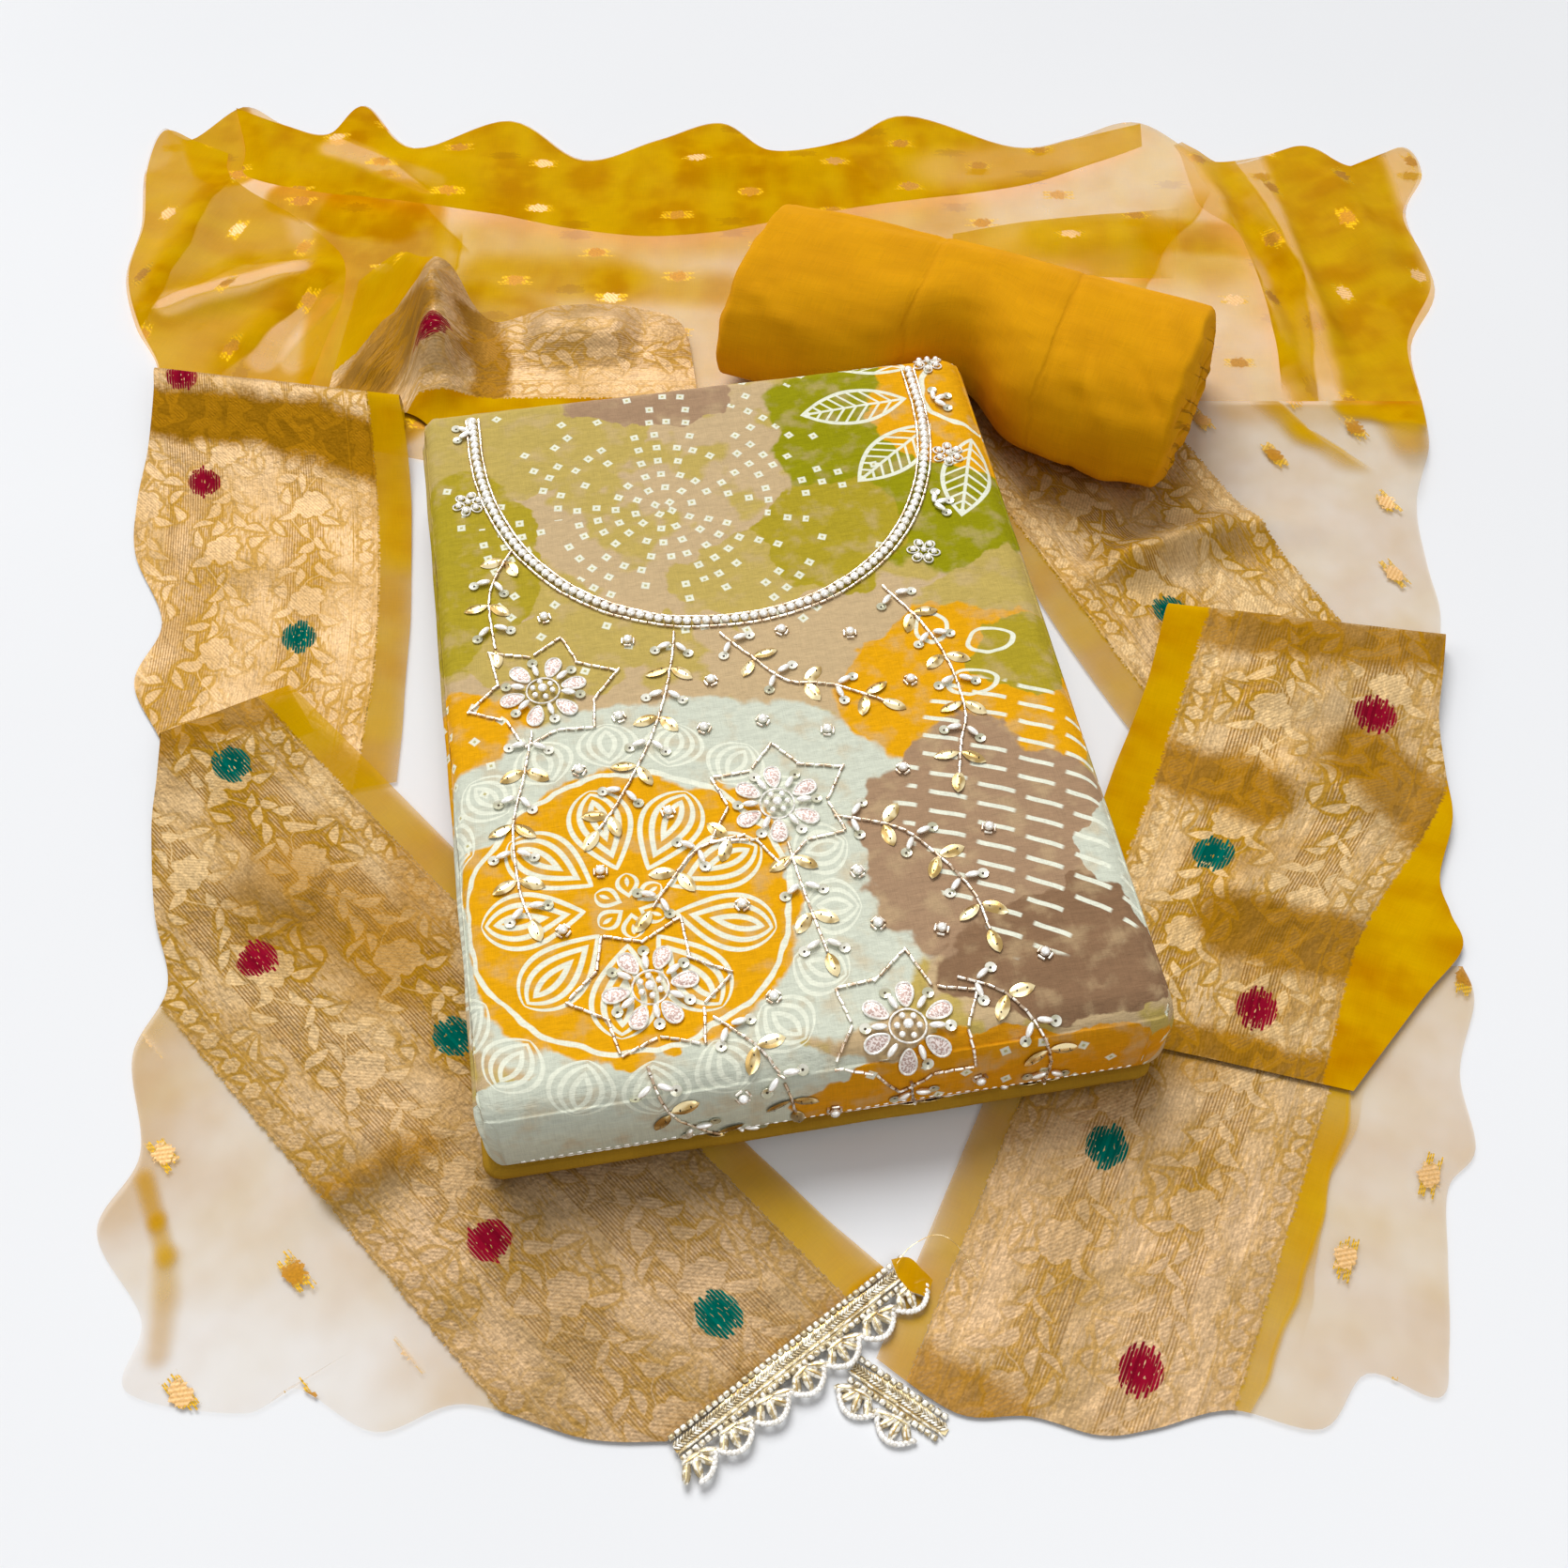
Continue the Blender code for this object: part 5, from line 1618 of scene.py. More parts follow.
# %% Sizes of the bundle
BUNDLE_CENTRE = (98.2, 222.1)
BUNDLE_TURN = radians(-21.5)
BUNDLE_LENGTH = 226.0
BUNDLE_WIDTH = 108.0
BUNDLE_HEIGHT = 58.0
BUNDLE_ROUND_LOW = (8.0, 46.0, 20.0)
BUNDLE_ROUND_HIGH = (7.0, 46.0, 34.0)
BUNDLE_CELLS = (120, 64, 44)
BUNDLE_END_GROOVE = 5.0
BUNDLE_LEFT_GROOVE = 2.0
BUNDLE_END_LAYERS = 4.2
BUNDLE_LEFT_LAYERS = 3
BUNDLE_END_REACH = 18
BUNDLE_END_CRUMPLE = 2.4
BUNDLE_END_SAG = 3.0
BUNDLE_CRUMPLE = 0.7
SALWAR_WALL = 0.8
SALWAR_LONG = 0.27
DENT_DEPTH = 33.0
DENT_PLACE = 4.0
DENT_SPANS = (31.0, 24.0)
BUNDLE_FOLDS = (
    Fold(-20, -60, -26, 60, -1.0, 1.8),
    Fold(50, -60, 44, 60, -1.0, 1.8),
    Fold(70, -60, 60, -10, -0.9, 2.2),
    Fold(92, -56, 56, -30, 2.2, 5.0),
    Fold(104, -44, 76, -14, -1.8, 3.5),
    Fold(106, -26, 88, 20, 1.4, 5.0),
    Fold(60, -52, 20, -46, -1.0, 4.0),
    Fold(-100, -30, -70, -46, 1.6, 5.0),
    Fold(-104, 10, -84, -24, -1.2, 4.0),
    Fold(-90, 34, -40, 44, 0.9, 7.0),
)
print("bundle:", BUNDLE_LENGTH, "x", BUNDLE_WIDTH, "x", BUNDLE_HEIGHT, "mm")

# %% Roll the bundle
half_x = BUNDLE_LENGTH / 2
half_y = BUNDLE_WIDTH / 2
bm, places = soft_block(
    (-half_x, -half_y, PITCH), (half_x, half_y, PITCH + BUNDLE_HEIGHT),
    BUNDLE_ROUND_LOW, BUNDLE_ROUND_HIGH, BUNDLE_CELLS)
charted = {}
for vert, cube, (x, y, z) in places:
    charted[vert] = (x, y + z)
    height = (z - PITCH) / BUNDLE_HEIGHT
    if cube.x > ON_FACE:
        layer = abs(sin(height * pi * BUNDLE_END_LAYERS + y * 0.03))
        x -= BUNDLE_END_GROOVE * (1 - ease(layer * 2.4)) * (1 - cube.z ** 4)
    if cube.x < -ON_FACE:
        layer = abs(sin(height * pi * BUNDLE_LEFT_LAYERS + 0.4))
        x += BUNDLE_LEFT_GROOVE * (1 - layer) * (1 - cube.z ** 4)
    dent = DENT_DEPTH * exp(-((x - DENT_PLACE) / DENT_SPANS[x > DENT_PLACE]) ** 2)
    y += dent * ((half_y - y) / BUNDLE_WIDTH) ** 1.5
    if abs(x) > half_x - BUNDLE_END_REACH:
        crumple = BUNDLE_END_CRUMPLE * noise.noise(Vector((y / 12, z / 8, x / 200)))
        x += crumple * (abs(x) - half_x + BUNDLE_END_REACH) / BUNDLE_END_REACH
    sag = BUNDLE_END_SAG * abs(cube.x) ** 3 * max(cube.z, 0.0)
    crease = fold_height(x, y, BUNDLE_FOLDS) if height > 0.15 else 0.0
    crease += BUNDLE_CRUMPLE * noise.noise(Vector((x / 40, y / 9, z / 9))) * min(height * 4, 1.0)
    inward = Vector((0, y / half_y, height * 2 - 1)).normalized() * crease
    level = z - sag + max(inward.z, -z + PITCH)
    vert.co = to_set(*turned(x, y + inward.y, BUNDLE_TURN, BUNDLE_CENTRE), level)
mustard_cotton = plain_cotton(
    "salwar_cotton", rgb(226, 158, 2), rgb(206, 138, 1), 0.4, (-22, 46), BUNDLE_LENGTH / 2 - 3)
wrap_cloth(bm, "salwar_roll", mustard_cotton, SALWAR_WALL, charted, "salwar_cotton", "folded",
           SALWAR_LONG, "salwar_bundle")

# %% [markdown]
# ## Beads and sequins
#
# The kameez front is worked by hand with pearls, rice pearls, short glass tubes called bugles,
# gold leaf sequins and round spangles. Each kind of bead is modelled once, small and with few
# faces, and is then stamped into one joined mesh for each part of the embroidery. The place for a
# bead is found on the pack's finished surface, so every bead sits on the cloth and follows the
# round of the front fold.

# %% Finishes of the beads
def bead_finish(name, colour, other, scale, **surface):
    """A small hard finish with two tones that change from bead to bead."""
    f = Finish(name)
    inputs = {"Vector": f.vector(*f.place()), "Scale": scale, "Detail": 1.0}
    tone = f.node("ShaderNodeTexNoise", {}, inputs)
    return f.set(Base_Color=f.mix(f.soft(tone, 0.42, 0.58), colour, other), **surface)


PEARL, BUGLE, GOLD_LEAF, SPANGLE, CORD, NET, HOLE_SHADE, LACE_THREAD = range(8)
BEAD_FINISHES = (
    bead_finish("pearl", (0.99, 0.98, 0.95), (0.93, 0.90, 0.84), 300,
                Roughness=0.28, Metallic=0.55),
    bead_finish("bugle_glass", (0.96, 0.91, 0.82), (0.52, 0.38, 0.26), 330,
                Roughness=0.12, Metallic=0.7),
    bead_finish("leaf_sequin", (0.44, 0.29, 0.10), (0.88, 0.73, 0.42), 150,
                Roughness=0.22, Metallic=0.9),
    bead_finish("spangle", (0.90, 0.88, 0.76), (0.56, 0.54, 0.38), 110,
                Roughness=0.15, Metallic=0.35),
    bead_finish("silver_cord", (0.92, 0.90, 0.86), (0.72, 0.68, 0.61), 700,
                Roughness=0.35, Metallic=0.5),
    bead_finish("rose_net", (0.50, 0.33, 0.28), (0.90, 0.80, 0.75), 1300,
                Roughness=0.5, Metallic=0.2),
    # The holes in the sequins are near-black discs laid on the foil: painted shade where each hole
    # is.
    bead_finish("needle_hole_shade", (0.05, 0.035, 0.02), (0.09, 0.06, 0.03), 300, Roughness=0.8),
    bead_finish("lace_thread", (0.82, 0.78, 0.68), (0.38, 0.30, 0.17), 520,
                Roughness=0.35, Metallic=0.45),
)
print("bead finishes:", len(BEAD_FINISHES))


# %% Simple beads, in millimetres, each lying along x on z = 0
FOIL = 0.12
HOLE_SIDES = 6


def bead_stock(name, *parts):
    """Join (bmesh, finish number) parts into one small mesh to stamp.

    Spin and solidify leave their faces in an order that changes from run to run. The faces are
    put in the order of their corners, so that each run gives the same mesh.
    """
    joined = bmesh.new()
    for bm, number in parts:
        for face in bm.faces:
            face.material_index = number
        part = bpy.data.meshes.new(name)
        bm.to_mesh(part)
        bm.free()
        joined.from_mesh(part)
        bpy.data.meshes.remove(part)
    joined.verts.index_update()
    ordered = sorted(joined.faces, key=lambda face: [vert.index for vert in face.verts])
    for place, face in enumerate(ordered):
        face.index = place
    joined.faces.sort()
    stock = bpy.data.meshes.new(name)
    joined.to_mesh(stock)
    joined.free()
    return stock


def ball(length, width, height, x=0.0, z=0.0):
    bm = bmesh.new()
    bmesh.ops.create_icosphere(bm, subdivisions=2, radius=1.0)
    bmesh.ops.scale(bm, vec=(length / 2, width / 2, height / 2), verts=bm.verts)
    bmesh.ops.translate(bm, vec=(x, 0, height / 2 + z), verts=bm.verts)
    return bm


def tube(length, width):
    bm = bmesh.new()
    lying = Matrix.Translation((0, 0, width / 2)) @ Matrix.Rotation(pi / 2, 4, "Y")
    bmesh.ops.create_cone(
        bm, cap_ends=True, segments=8, radius1=width / 2, radius2=width / 2, depth=length,
        matrix=lying)
    return bm


def disc(radius, x, z):
    bm = bmesh.new()
    bmesh.ops.create_circle(
        bm, cap_ends=True, segments=HOLE_SIDES, radius=radius,
        matrix=Matrix.Translation((x, 0, z)))
    return bm


PEARL_BEAD = bead_stock("pearl_bead", (ball(3.8, 3.8, 3.2), PEARL))
SMALL_PEARL = bead_stock("small_pearl", (ball(2.5, 2.5, 2.5), PEARL))
RICE_PEARL = bead_stock("rice_pearl", (ball(6.2, 2.5, 2.4), PEARL))
BUGLE_BEAD = bead_stock("bugle_bead", (tube(3.1, 1.2), BUGLE))
SHORT_BUGLE = bead_stock("short_bugle", (tube(2.7, 1.1), BUGLE))
print("a pearl has", len(PEARL_BEAD.polygons), "faces, a bugle", len(BUGLE_BEAD.polygons))


# %% Sequins of pressed foil
def pressed_leaf(length, width, ridge):
    """A leaf stamped from foil, with a ridge along its middle."""
    bm = bmesh.new()
    bmesh.ops.create_grid(bm, x_segments=8, y_segments=4, size=1.0)
    for vert in bm.verts:
        along, across = vert.co.x, vert.co.y
        narrow = 1 - along ** 2
        vert.co.x = along * length / 2
        vert.co.y = across * width / 2 * narrow ** 0.75
        vert.co.z = 0.35 + ridge * (1 - abs(across)) * narrow ** 0.5
    bmesh.ops.remove_doubles(bm, verts=bm.verts, dist=0.001)
    bmesh.ops.recalc_face_normals(bm, faces=bm.faces)
    bmesh.ops.solidify(bm, geom=bm.faces, thickness=FOIL)
    return bm


def dished_ring(inner, outer, rise):
    bm = bmesh.new()
    hole, rim = (
        bmesh.ops.create_circle(
            bm, segments=14, radius=radius, matrix=Matrix.Translation((0, 0, level)))["verts"]
        for radius, level in ((inner, 0.3), (outer, 0.3 + rise)))
    edges = [edge for edge in bm.edges if edge.verts[0] in hole or edge.verts[0] in rim]
    bmesh.ops.bridge_loops(bm, edges=edges)
    bmesh.ops.recalc_face_normals(bm, faces=bm.faces)
    bmesh.ops.solidify(bm, geom=bm.faces, thickness=FOIL)
    return bm


LEAF_SEQUIN = bead_stock(
    "leaf_sequin", (pressed_leaf(10.4, 5.0, 0.8), GOLD_LEAF), (disc(0.36, -2.0, 1.35), HOLE_SHADE),
    (disc(0.36, 2.0, 1.35), HOLE_SHADE))
ROUND_SPANGLE = bead_stock(
    "round_spangle", (dished_ring(0.5, 2.1, 0.45), SPANGLE), (disc(0.55, 0.0, 0.36), HOLE_SHADE))
print("a leaf sequin has", len(LEAF_SEQUIN.polygons), "faces")


# %% Petals of cord and net
def teardrop(turn, length, width, taper):
    """A place on a teardrop's outline whose narrow end faces -x."""
    return length / 2 * cos(turn), width / 2 * sin(turn) * (1 - taper + taper * cos(turn))


def cord_loop(length, width, taper, cord):
    """A closed loop of cord, spun as a ring and then drawn to a teardrop."""
    bm = bmesh.new()
    section = bmesh.ops.create_circle(
        bm, segments=6, radius=cord / 2,
        matrix=Matrix.Translation((1, 0, cord / 2)) @ Matrix.Rotation(pi / 2, 4, "X"))["verts"]
    bmesh.ops.spin(
        bm, geom=section + bm.edges[:], axis=(0, 0, 1), angle=tau, steps=20, use_merge=True)
    for vert in bm.verts:
        turn = atan2(vert.co.y, vert.co.x)
        beyond = hypot(vert.co.x, vert.co.y) - 1
        x, y = teardrop(turn, length, width, taper)
        vert.co.x = x + beyond * cos(turn)
        vert.co.y = y + beyond * sin(turn)
    bmesh.ops.recalc_face_normals(bm, faces=bm.faces)
    return bm


def net_fill(length, width, taper):
    """The net inside a loop: a grid drawn to a disc and on to the teardrop, a little domed."""
    bm = bmesh.new()
    bmesh.ops.create_grid(bm, x_segments=6, y_segments=6, size=1.0)
    for vert in bm.verts:
        reach = max(abs(vert.co.x), abs(vert.co.y))
        x, y = teardrop(atan2(vert.co.y, vert.co.x), length, width, taper)
        vert.co = (x * reach, y * reach, 0.5 + 0.5 * (1 - reach ** 2))
    return bm


PETAL = bead_stock(
    "petal", (cord_loop(9.4, 7.4, 0.22, 0.95), CORD), (net_fill(8.8, 6.8, 0.22), NET))
CENTRE_LOOP = bead_stock("centre_loop", (cord_loop(13.0, 13.0, 0.0, 0.8), CORD))
SMALL_PETAL = bead_stock(
    "small_petal", (cord_loop(5.0, 4.0, 0.12, 0.75), CORD), (ball(2.7, 2.7, 2.4), PEARL))
print("a petal has", len(PETAL.polygons), "faces")

# %% Sew beads on the pack
cloth_top = BVHTree.FromPolygons(
    [vert.co for vert in pack.data.vertices], [face.vertices[:] for face in pack.data.polygons])


def on_pack(x, y):
    """A place on the pack: x across it, y forwards and on round the front fold."""
    turn_at = -PACK_LENGTH / 2 + FRONT_ROUND
    wrap = max(turn_at - y, 0.0) / FRONT_ROUND
    angle = min(wrap, pi / 2)
    level = PACK_TOP - FRONT_ROUND * (1 - cos(angle)) - (wrap - angle) * FRONT_ROUND
    flat_y = max(y, turn_at) - FRONT_ROUND * sin(angle)
    guess = to_set(*turned(x, flat_y, PACK_TURN), level)
    return cloth_top.find_nearest(guess)[:2]


def step_off(x, y, turn, reach):
    """The place at so many degrees and millimetres from another."""
    return x + reach * cos(radians(turn)), y + reach * sin(radians(turn))


def bead_place(x, y, heading, lift=0.0):
    """The frame for a bead sewn at a place, lying towards its heading in degrees."""
    place, normal = on_pack(x, y)
    along = on_pack(*step_off(x, y, heading, 1.0))[0] - place
    along = (along - normal * along.dot(normal)).normalized()
    across = normal.cross(along)
    facing = Matrix((along, across, normal)).transposed().to_4x4()
    return Matrix.Translation(place + normal * lift * MM) @ facing @ Matrix.Scale(MM, 4)


def stamp(bm, stock, place):
    """Add a copy of a stock mesh at its place."""
    copy = stock.copy()
    copy.transform(place)
    bm.from_mesh(copy)
    bpy.data.meshes.remove(copy)


def finish_beads(bm, name, slot, *nodes):
    """The joined beads as an object with every bead finish."""
    piece = finish_mesh(bm, name, BEAD_FINISHES[0])
    for material in BEAD_FINISHES[1:]:
        piece.data.materials.append(material)
    piece.data.set_sharp_from_angle(angle=radians(50))
    settle(piece, slot, *nodes)
    print(f"{name}: {len(piece.data.polygons)} faces")


def smooth_line(points):
    """A smooth curve through a few points, eight steps to each."""
    return [curve_through(points, step / 8) for step in range(8 * (len(points) - 1) + 1)]


def evenly(points, pitch):
    """Places every pitch along a line of points, each with its heading in degrees."""
    places = []
    left = pitch / 2
    for (x0, y0), (x1, y1) in zip(points, points[1:]):
        length = hypot(x1 - x0, y1 - y0)
        heading = atan2(y1 - y0, x1 - x0) * 180 / pi
        while left <= length:
            share = left / length
            places.append((x0 + share * (x1 - x0), y0 + share * (y1 - y0), heading))
            left += pitch
        left -= length
    return places


print("the pack's middle is", round(on_pack(0, 0)[0].z / MM, 1), "mm high")

# %% [markdown]
# ## The neckline
#
# A row of pearls with a row of bugles on each side marks the neck, as a deep U. It is a curve with
# fuller corners than a circle's, straight at its upper ends.

# %% Sew the neckline
NECK_CENTRE = (-2.0, 150.0)
NECK_HALF_WIDTH = 99.0
NECK_DEPTH = 120.0
NECK_POWER = 2.15
NECK_END = 166.0
NECK_SWAY = 0.25
NECK_STEPS = 240
NECK_ROWS = (
    (0.0, 3.9, PEARL_BEAD),
    (-2.7, 3.5, BUGLE_BEAD),
    (2.7, 3.5, BUGLE_BEAD),
)


def neck_line(share):
    """A place on the neck's U, from its left end at 0 to its right end at 1."""
    straight = NECK_END - NECK_CENTRE[1]
    run = share * 2 - 1
    reach = straight / (straight + NECK_DEPTH * pi / 2)
    bend = min(max(run / (1 - reach), -1.0), 1.0) * pi / 2
    rise = max(abs(run) - (1 - reach), 0.0) / reach * straight
    power = 2 / NECK_POWER
    x = NECK_CENTRE[0] + NECK_HALF_WIDTH * abs(sin(bend)) ** power * (1 if bend > 0 else -1)
    return x, NECK_CENTRE[1] - NECK_DEPTH * max(cos(bend), 0.0) ** power + rise


bm = bmesh.new()
line = [neck_line(step / NECK_STEPS) for step in range(NECK_STEPS + 1)]
for aside, pitch, stock in NECK_ROWS:
    for x, y, heading in evenly(line, pitch):
        sway = NECK_SWAY * noise.noise(Vector((x / 9, y / 9, aside)))
        stamp(bm, stock, bead_place(*step_off(x, y, heading + 90, aside + sway), heading))
finish_beads(bm, "neckline_pearls", "pearl_trim", "neck_trim")

# %% [markdown]
# ## The four large flowers
#
# Each flower has six petals of net edged with silver cord, and a rice pearl with a spangle between
# every two. Seven pearls in a cord ring are its centre. A six-pointed star of bugles goes round
# it, sewn by eye, so its points aren't quite alike.

# %% Sew the flowers
Flower = namedtuple("Flower", "x y turn")
FLOWERS = (
    Flower(-84, 6, 10),
    Flower(-2, -63, 25),
    Flower(-59, -133, 2),
    Flower(27, -163, 20),
)
STAR_POINT = 29.5
STAR_NOTCH = 19.5
STAR_STRAY = 1.6
PETAL_REACH = 12.4
BETWEEN_PETALS = ((RICE_PEARL, 10.2, 0.5), (ROUND_SPANGLE, 14.9, 0.2), (SMALL_PEARL, 3.9, 0.4))
chance = Random(41)
star_beads = bmesh.new()

for number, flower in enumerate(FLOWERS, start=1):
    bm = bmesh.new()
    middle = flower.x, flower.y
    for petal in range(6):
        turn = flower.turn + petal * 60 + chance.uniform(-4, 4)
        stamp(bm, PETAL, bead_place(*step_off(*middle, turn, PETAL_REACH), turn, 0.1))
        turn += 30 + chance.uniform(-5, 5)
        for stock, reach, lift in BETWEEN_PETALS:
            stamp(bm, stock, bead_place(*step_off(*middle, turn, reach), turn, lift))
    stamp(bm, PEARL_BEAD, bead_place(*middle, 0, 0.9))
    stamp(bm, CENTRE_LOOP, bead_place(*middle, 0, 0.2))
    finish_beads(bm, f"bead_flower_work_{number}", "petal_mesh", f"bead_flower_{number}")
    corners = []
    for corner in range(13):
        reach = (STAR_NOTCH if corner % 2 else STAR_POINT) + chance.uniform(-STAR_STRAY, STAR_STRAY)
        corners.append(step_off(*middle, flower.turn + corner * 30, reach))
    corners[12] = corners[0]
    for start, end in zip(corners, corners[1:]):
        for x, y, heading in evenly((start, end), 3.6):
            stamp(star_beads, BUGLE_BEAD, bead_place(x, y, heading + chance.uniform(-7, 7)))
finish_beads(star_beads, "bugle_stars", "pearl_trim")

# %% [markdown]
# ## Vines, single pearls and sprigs
#
# Vines of bugles run down from the neck and from flower to flower. A pair of gold leaves and a
# pair of rice pearls tipped with spangles take turns along each, and a last leaf ends it. Between
# the vines sit single pearls, each in a square of short bugles. Small six-petalled flowers and
# sprigs of three rice pearls lie outside the neck.

# %% Sew the vines
Vine = namedtuple("Vine", "first points")
VINES = (
    Vine("leaves", ((-90, 84), (-101, 61), (-101, 31))),
    Vine("pearls", ((-90, -13), (-95, -34), (-101, -57), (-101, -84), (-98, -98))),
    Vine("pearls", ((-29, 28), (-32, 13), (-39, -10), (-49, -32), (-63, -55), (-70, -64))),
    Vine("pearls", ((-11, 24), (1, 8), (12, -5), (29, -10), (47, -21))),
    Vine("pearls", ((59, 38), (71, 15), (77, -6), (78, -31), (73, -46), (69, -60))),
    Vine("pearls", ((18, -72), (40, -81), (52, -95), (62, -114), (64, -130))),
    Vine("leaves", ((-1, -81), (1, -102), (5, -130))),
    Vine("leaves", ((-16, -75), (-34, -78), (-48, -93), (-55, -102))),
    Vine("pearls", ((-39, -148), (-25, -163), (-18, -177), (-15, -193))),
    Vine("pearls", ((-64, -163), (-59, -180), (-44, -200), (-23, -218))),
    Vine("pearls", ((48, -147), (62, -155), (72, -170), (76, -186), (75, -206))),
    Vine("pearls", ((26, -184), (29, -203), (42, -216))),
)
NODE_EVERY = 12.5
SQUARE_PEARLS = (
    (-80, 44), (-48, 26), (14, 21), (41, 15), (-18, 0), (60, -13), (-56, -12), (-24, -23),
    (-1, -23), (23, -32), (-74, -35), (48, -55), (-43, -60), (74, -87), (-71, -82), (-22, -105),
    (22, -98), (-87, -105), (25, -121), (47, -127), (81, -143), (-17, -144), (-33, -179),
    (51, -190), (-1, -197), (62, -211),
)
SMALL_FLOWERS = ((-106, 114), (103, 109), (80, 54), (107, 169))
SPRIGS = ((-102, 158, 150), (104, 143, 20), (90, 80, 10))
LEAF_OUT = 5.6
LAST_LEAF_OUT = 5
VINE_PEARL = (4.2, 8.2)
SPRIG_PEARL = (3.6, 7.4)


def sew_tipped_pearl(bm, x, y, turn, reaches):
    """A rice pearl with a spangle at its far end, at two distances from a place."""
    stamp(bm, RICE_PEARL, bead_place(*step_off(x, y, turn, reaches[0]), turn, 0.3))
    stamp(bm, ROUND_SPANGLE, bead_place(*step_off(x, y, turn, reaches[1]), turn))


def sew_pair(bm, kind, x, y, heading):
    """A leaf or a tipped rice pearl on each side of a vine."""
    for side in (1, -1):
        turn = heading + side * chance.uniform(48, 74)
        if kind == "leaves":
            place = bead_place(*step_off(x, y, turn, LEAF_OUT), turn, 0.2)
            tilt = Matrix.Rotation(radians(chance.uniform(-16, 16)), 4, "X")
            stamp(bm, LEAF_SEQUIN, place @ tilt)
        else:
            sew_tipped_pearl(bm, x, y, turn, VINE_PEARL)


bm = bmesh.new()
for vine in VINES:
    smooth = smooth_line(vine.points)
    for x, y, heading in evenly(smooth, 3.5):
        stamp(bm, BUGLE_BEAD, bead_place(x, y, heading + chance.uniform(-8, 8)))
    kinds = ("leaves", "pearls") if vine.first == "leaves" else ("pearls", "leaves")
    for number, (x, y, heading) in enumerate(evenly(smooth, NODE_EVERY)):
        sew_pair(bm, kinds[number % 2], x, y, heading)
    tip = step_off(*smooth[-1], heading, LAST_LEAF_OUT)
    stamp(bm, LEAF_SEQUIN, bead_place(*tip, heading, 0.2))
finish_beads(bm, "bead_vines", "pearl_trim")

# %% Sew the single pearls, small flowers and sprigs
SQUARE_OUT = 2.3
SMALL_PETAL_OUT = 4.4
SPRIG_SPREAD = 62
bm = bmesh.new()
for x, y in SQUARE_PEARLS:
    turn = chance.uniform(0, 90)
    stamp(bm, PEARL_BEAD, bead_place(x, y, turn, 0.2))
    for side in range(4):
        facing = turn + side * 90
        stamp(bm, SHORT_BUGLE, bead_place(*step_off(x, y, facing, SQUARE_OUT), facing + 90))
for x, y in SMALL_FLOWERS:
    turn = chance.uniform(0, 60)
    stamp(bm, SMALL_PEARL, bead_place(x, y, 0, 0.4))
    for petal in range(6):
        facing = turn + petal * 60
        place = bead_place(*step_off(x, y, facing, SMALL_PETAL_OUT), facing, 0.1)
        stamp(bm, SMALL_PETAL, place)
for x, y, heading in SPRIGS:
    for turn in (heading - SPRIG_SPREAD, heading, heading + SPRIG_SPREAD):
        sew_tipped_pearl(bm, x, y, turn, SPRIG_PEARL)
finish_beads(bm, "single_pearls_and_sprigs", "pearl_trim")

# %% [markdown]
# ## The hem
#
# Along the front of the pack the printed cloth ends in a narrow rolled hem. A cream cord lies in
# it, and a row of running stitches goes along just above. Both follow the pack's front face.

# %% Sew the hem
HEM_CORD_AT = -204.5
HEM_STITCHES_AT = -200.0
HEM_STEP = 3.3
HEM_START = 14
HEM_SHORT = 26
HEM_WAVE = 0.6
CORD_PIECE = bead_stock("cord_piece", (ball(4.2, 1.2, 1.0), PEARL))
HEM_STITCH = bead_stock("hem_stitch", (ball(2.1, 0.8, 0.6), PEARL))
bm = bmesh.new()
steps = int((PACK_WIDTH - HEM_SHORT) / HEM_STEP)
for step in range(steps):
    x = HEM_START - PACK_WIDTH / 2 + step * HEM_STEP
    wave = HEM_WAVE * sin(x / 17)
    stamp(bm, CORD_PIECE, bead_place(x, HEM_CORD_AT + wave, 0.0, -0.3))
    stamp(bm, HEM_STITCH, bead_place(x, HEM_STITCHES_AT + wave, chance.uniform(-8, 8), -0.2))
print("hem stitches:", steps)
finish_beads(bm, "hem_sewing", "printed_cotton")

# %% [markdown]
# ## The silver lace
#
# A ready-made metal-thread lace is sewn along each cut end of the dupatta. It has a braid between
# two rows of square links, and beyond them scallops of twisted cord with wound leaves inside. Each
# thread form is again a small stock mesh, stamped along the lace's line.

# %% Kinds of lace thread
LaceLine = namedtuple("LaceLine", "x0 y0 x1 y1 start top")
LACE_PITCH = 15.0
LACE_BAND = 10.0
LACE_SCALLOP = 8.6
LACE_DIP = 2.6
LINK_EVERY = 2.5
STRAND_EVERY = 1.25
TWIST_EVERY = 1.2
LINK_ROWS = ((0.0, 1.2), (0.8, 8.9))
StrandRow = namedtuple("StrandRow", "reach turn stray lift")
STRAND_ROWS = (
    StrandRow(3.6, 40, 6, 0.3),
    StrandRow(5.1, -40, 6, 0.3),
    StrandRow(6.9, 8, 10, 0.2),
)
WoundLeaf = namedtuple("WoundLeaf", "run beyond turn lift")
WOUND_LEAVES = (
    WoundLeaf(-5.6, 2.2, -24, 0.2),
    WoundLeaf(-3.2, 3.6, -62, 0.0),
    WoundLeaf(0.2, 4.0, 78, 0.3),
    WoundLeaf(4.0, 3.2, 56, 0.0),
    WoundLeaf(0.0, 0.8, 0, 0.2),
)


def scallop(run):
    """How far the edge cord lies beyond the band: low waves that never come right back to it."""
    wave = abs(sin(pi * run / LACE_PITCH)) ** 0.7
    return LACE_BAND + LACE_DIP + (LACE_SCALLOP - LACE_DIP) * wave


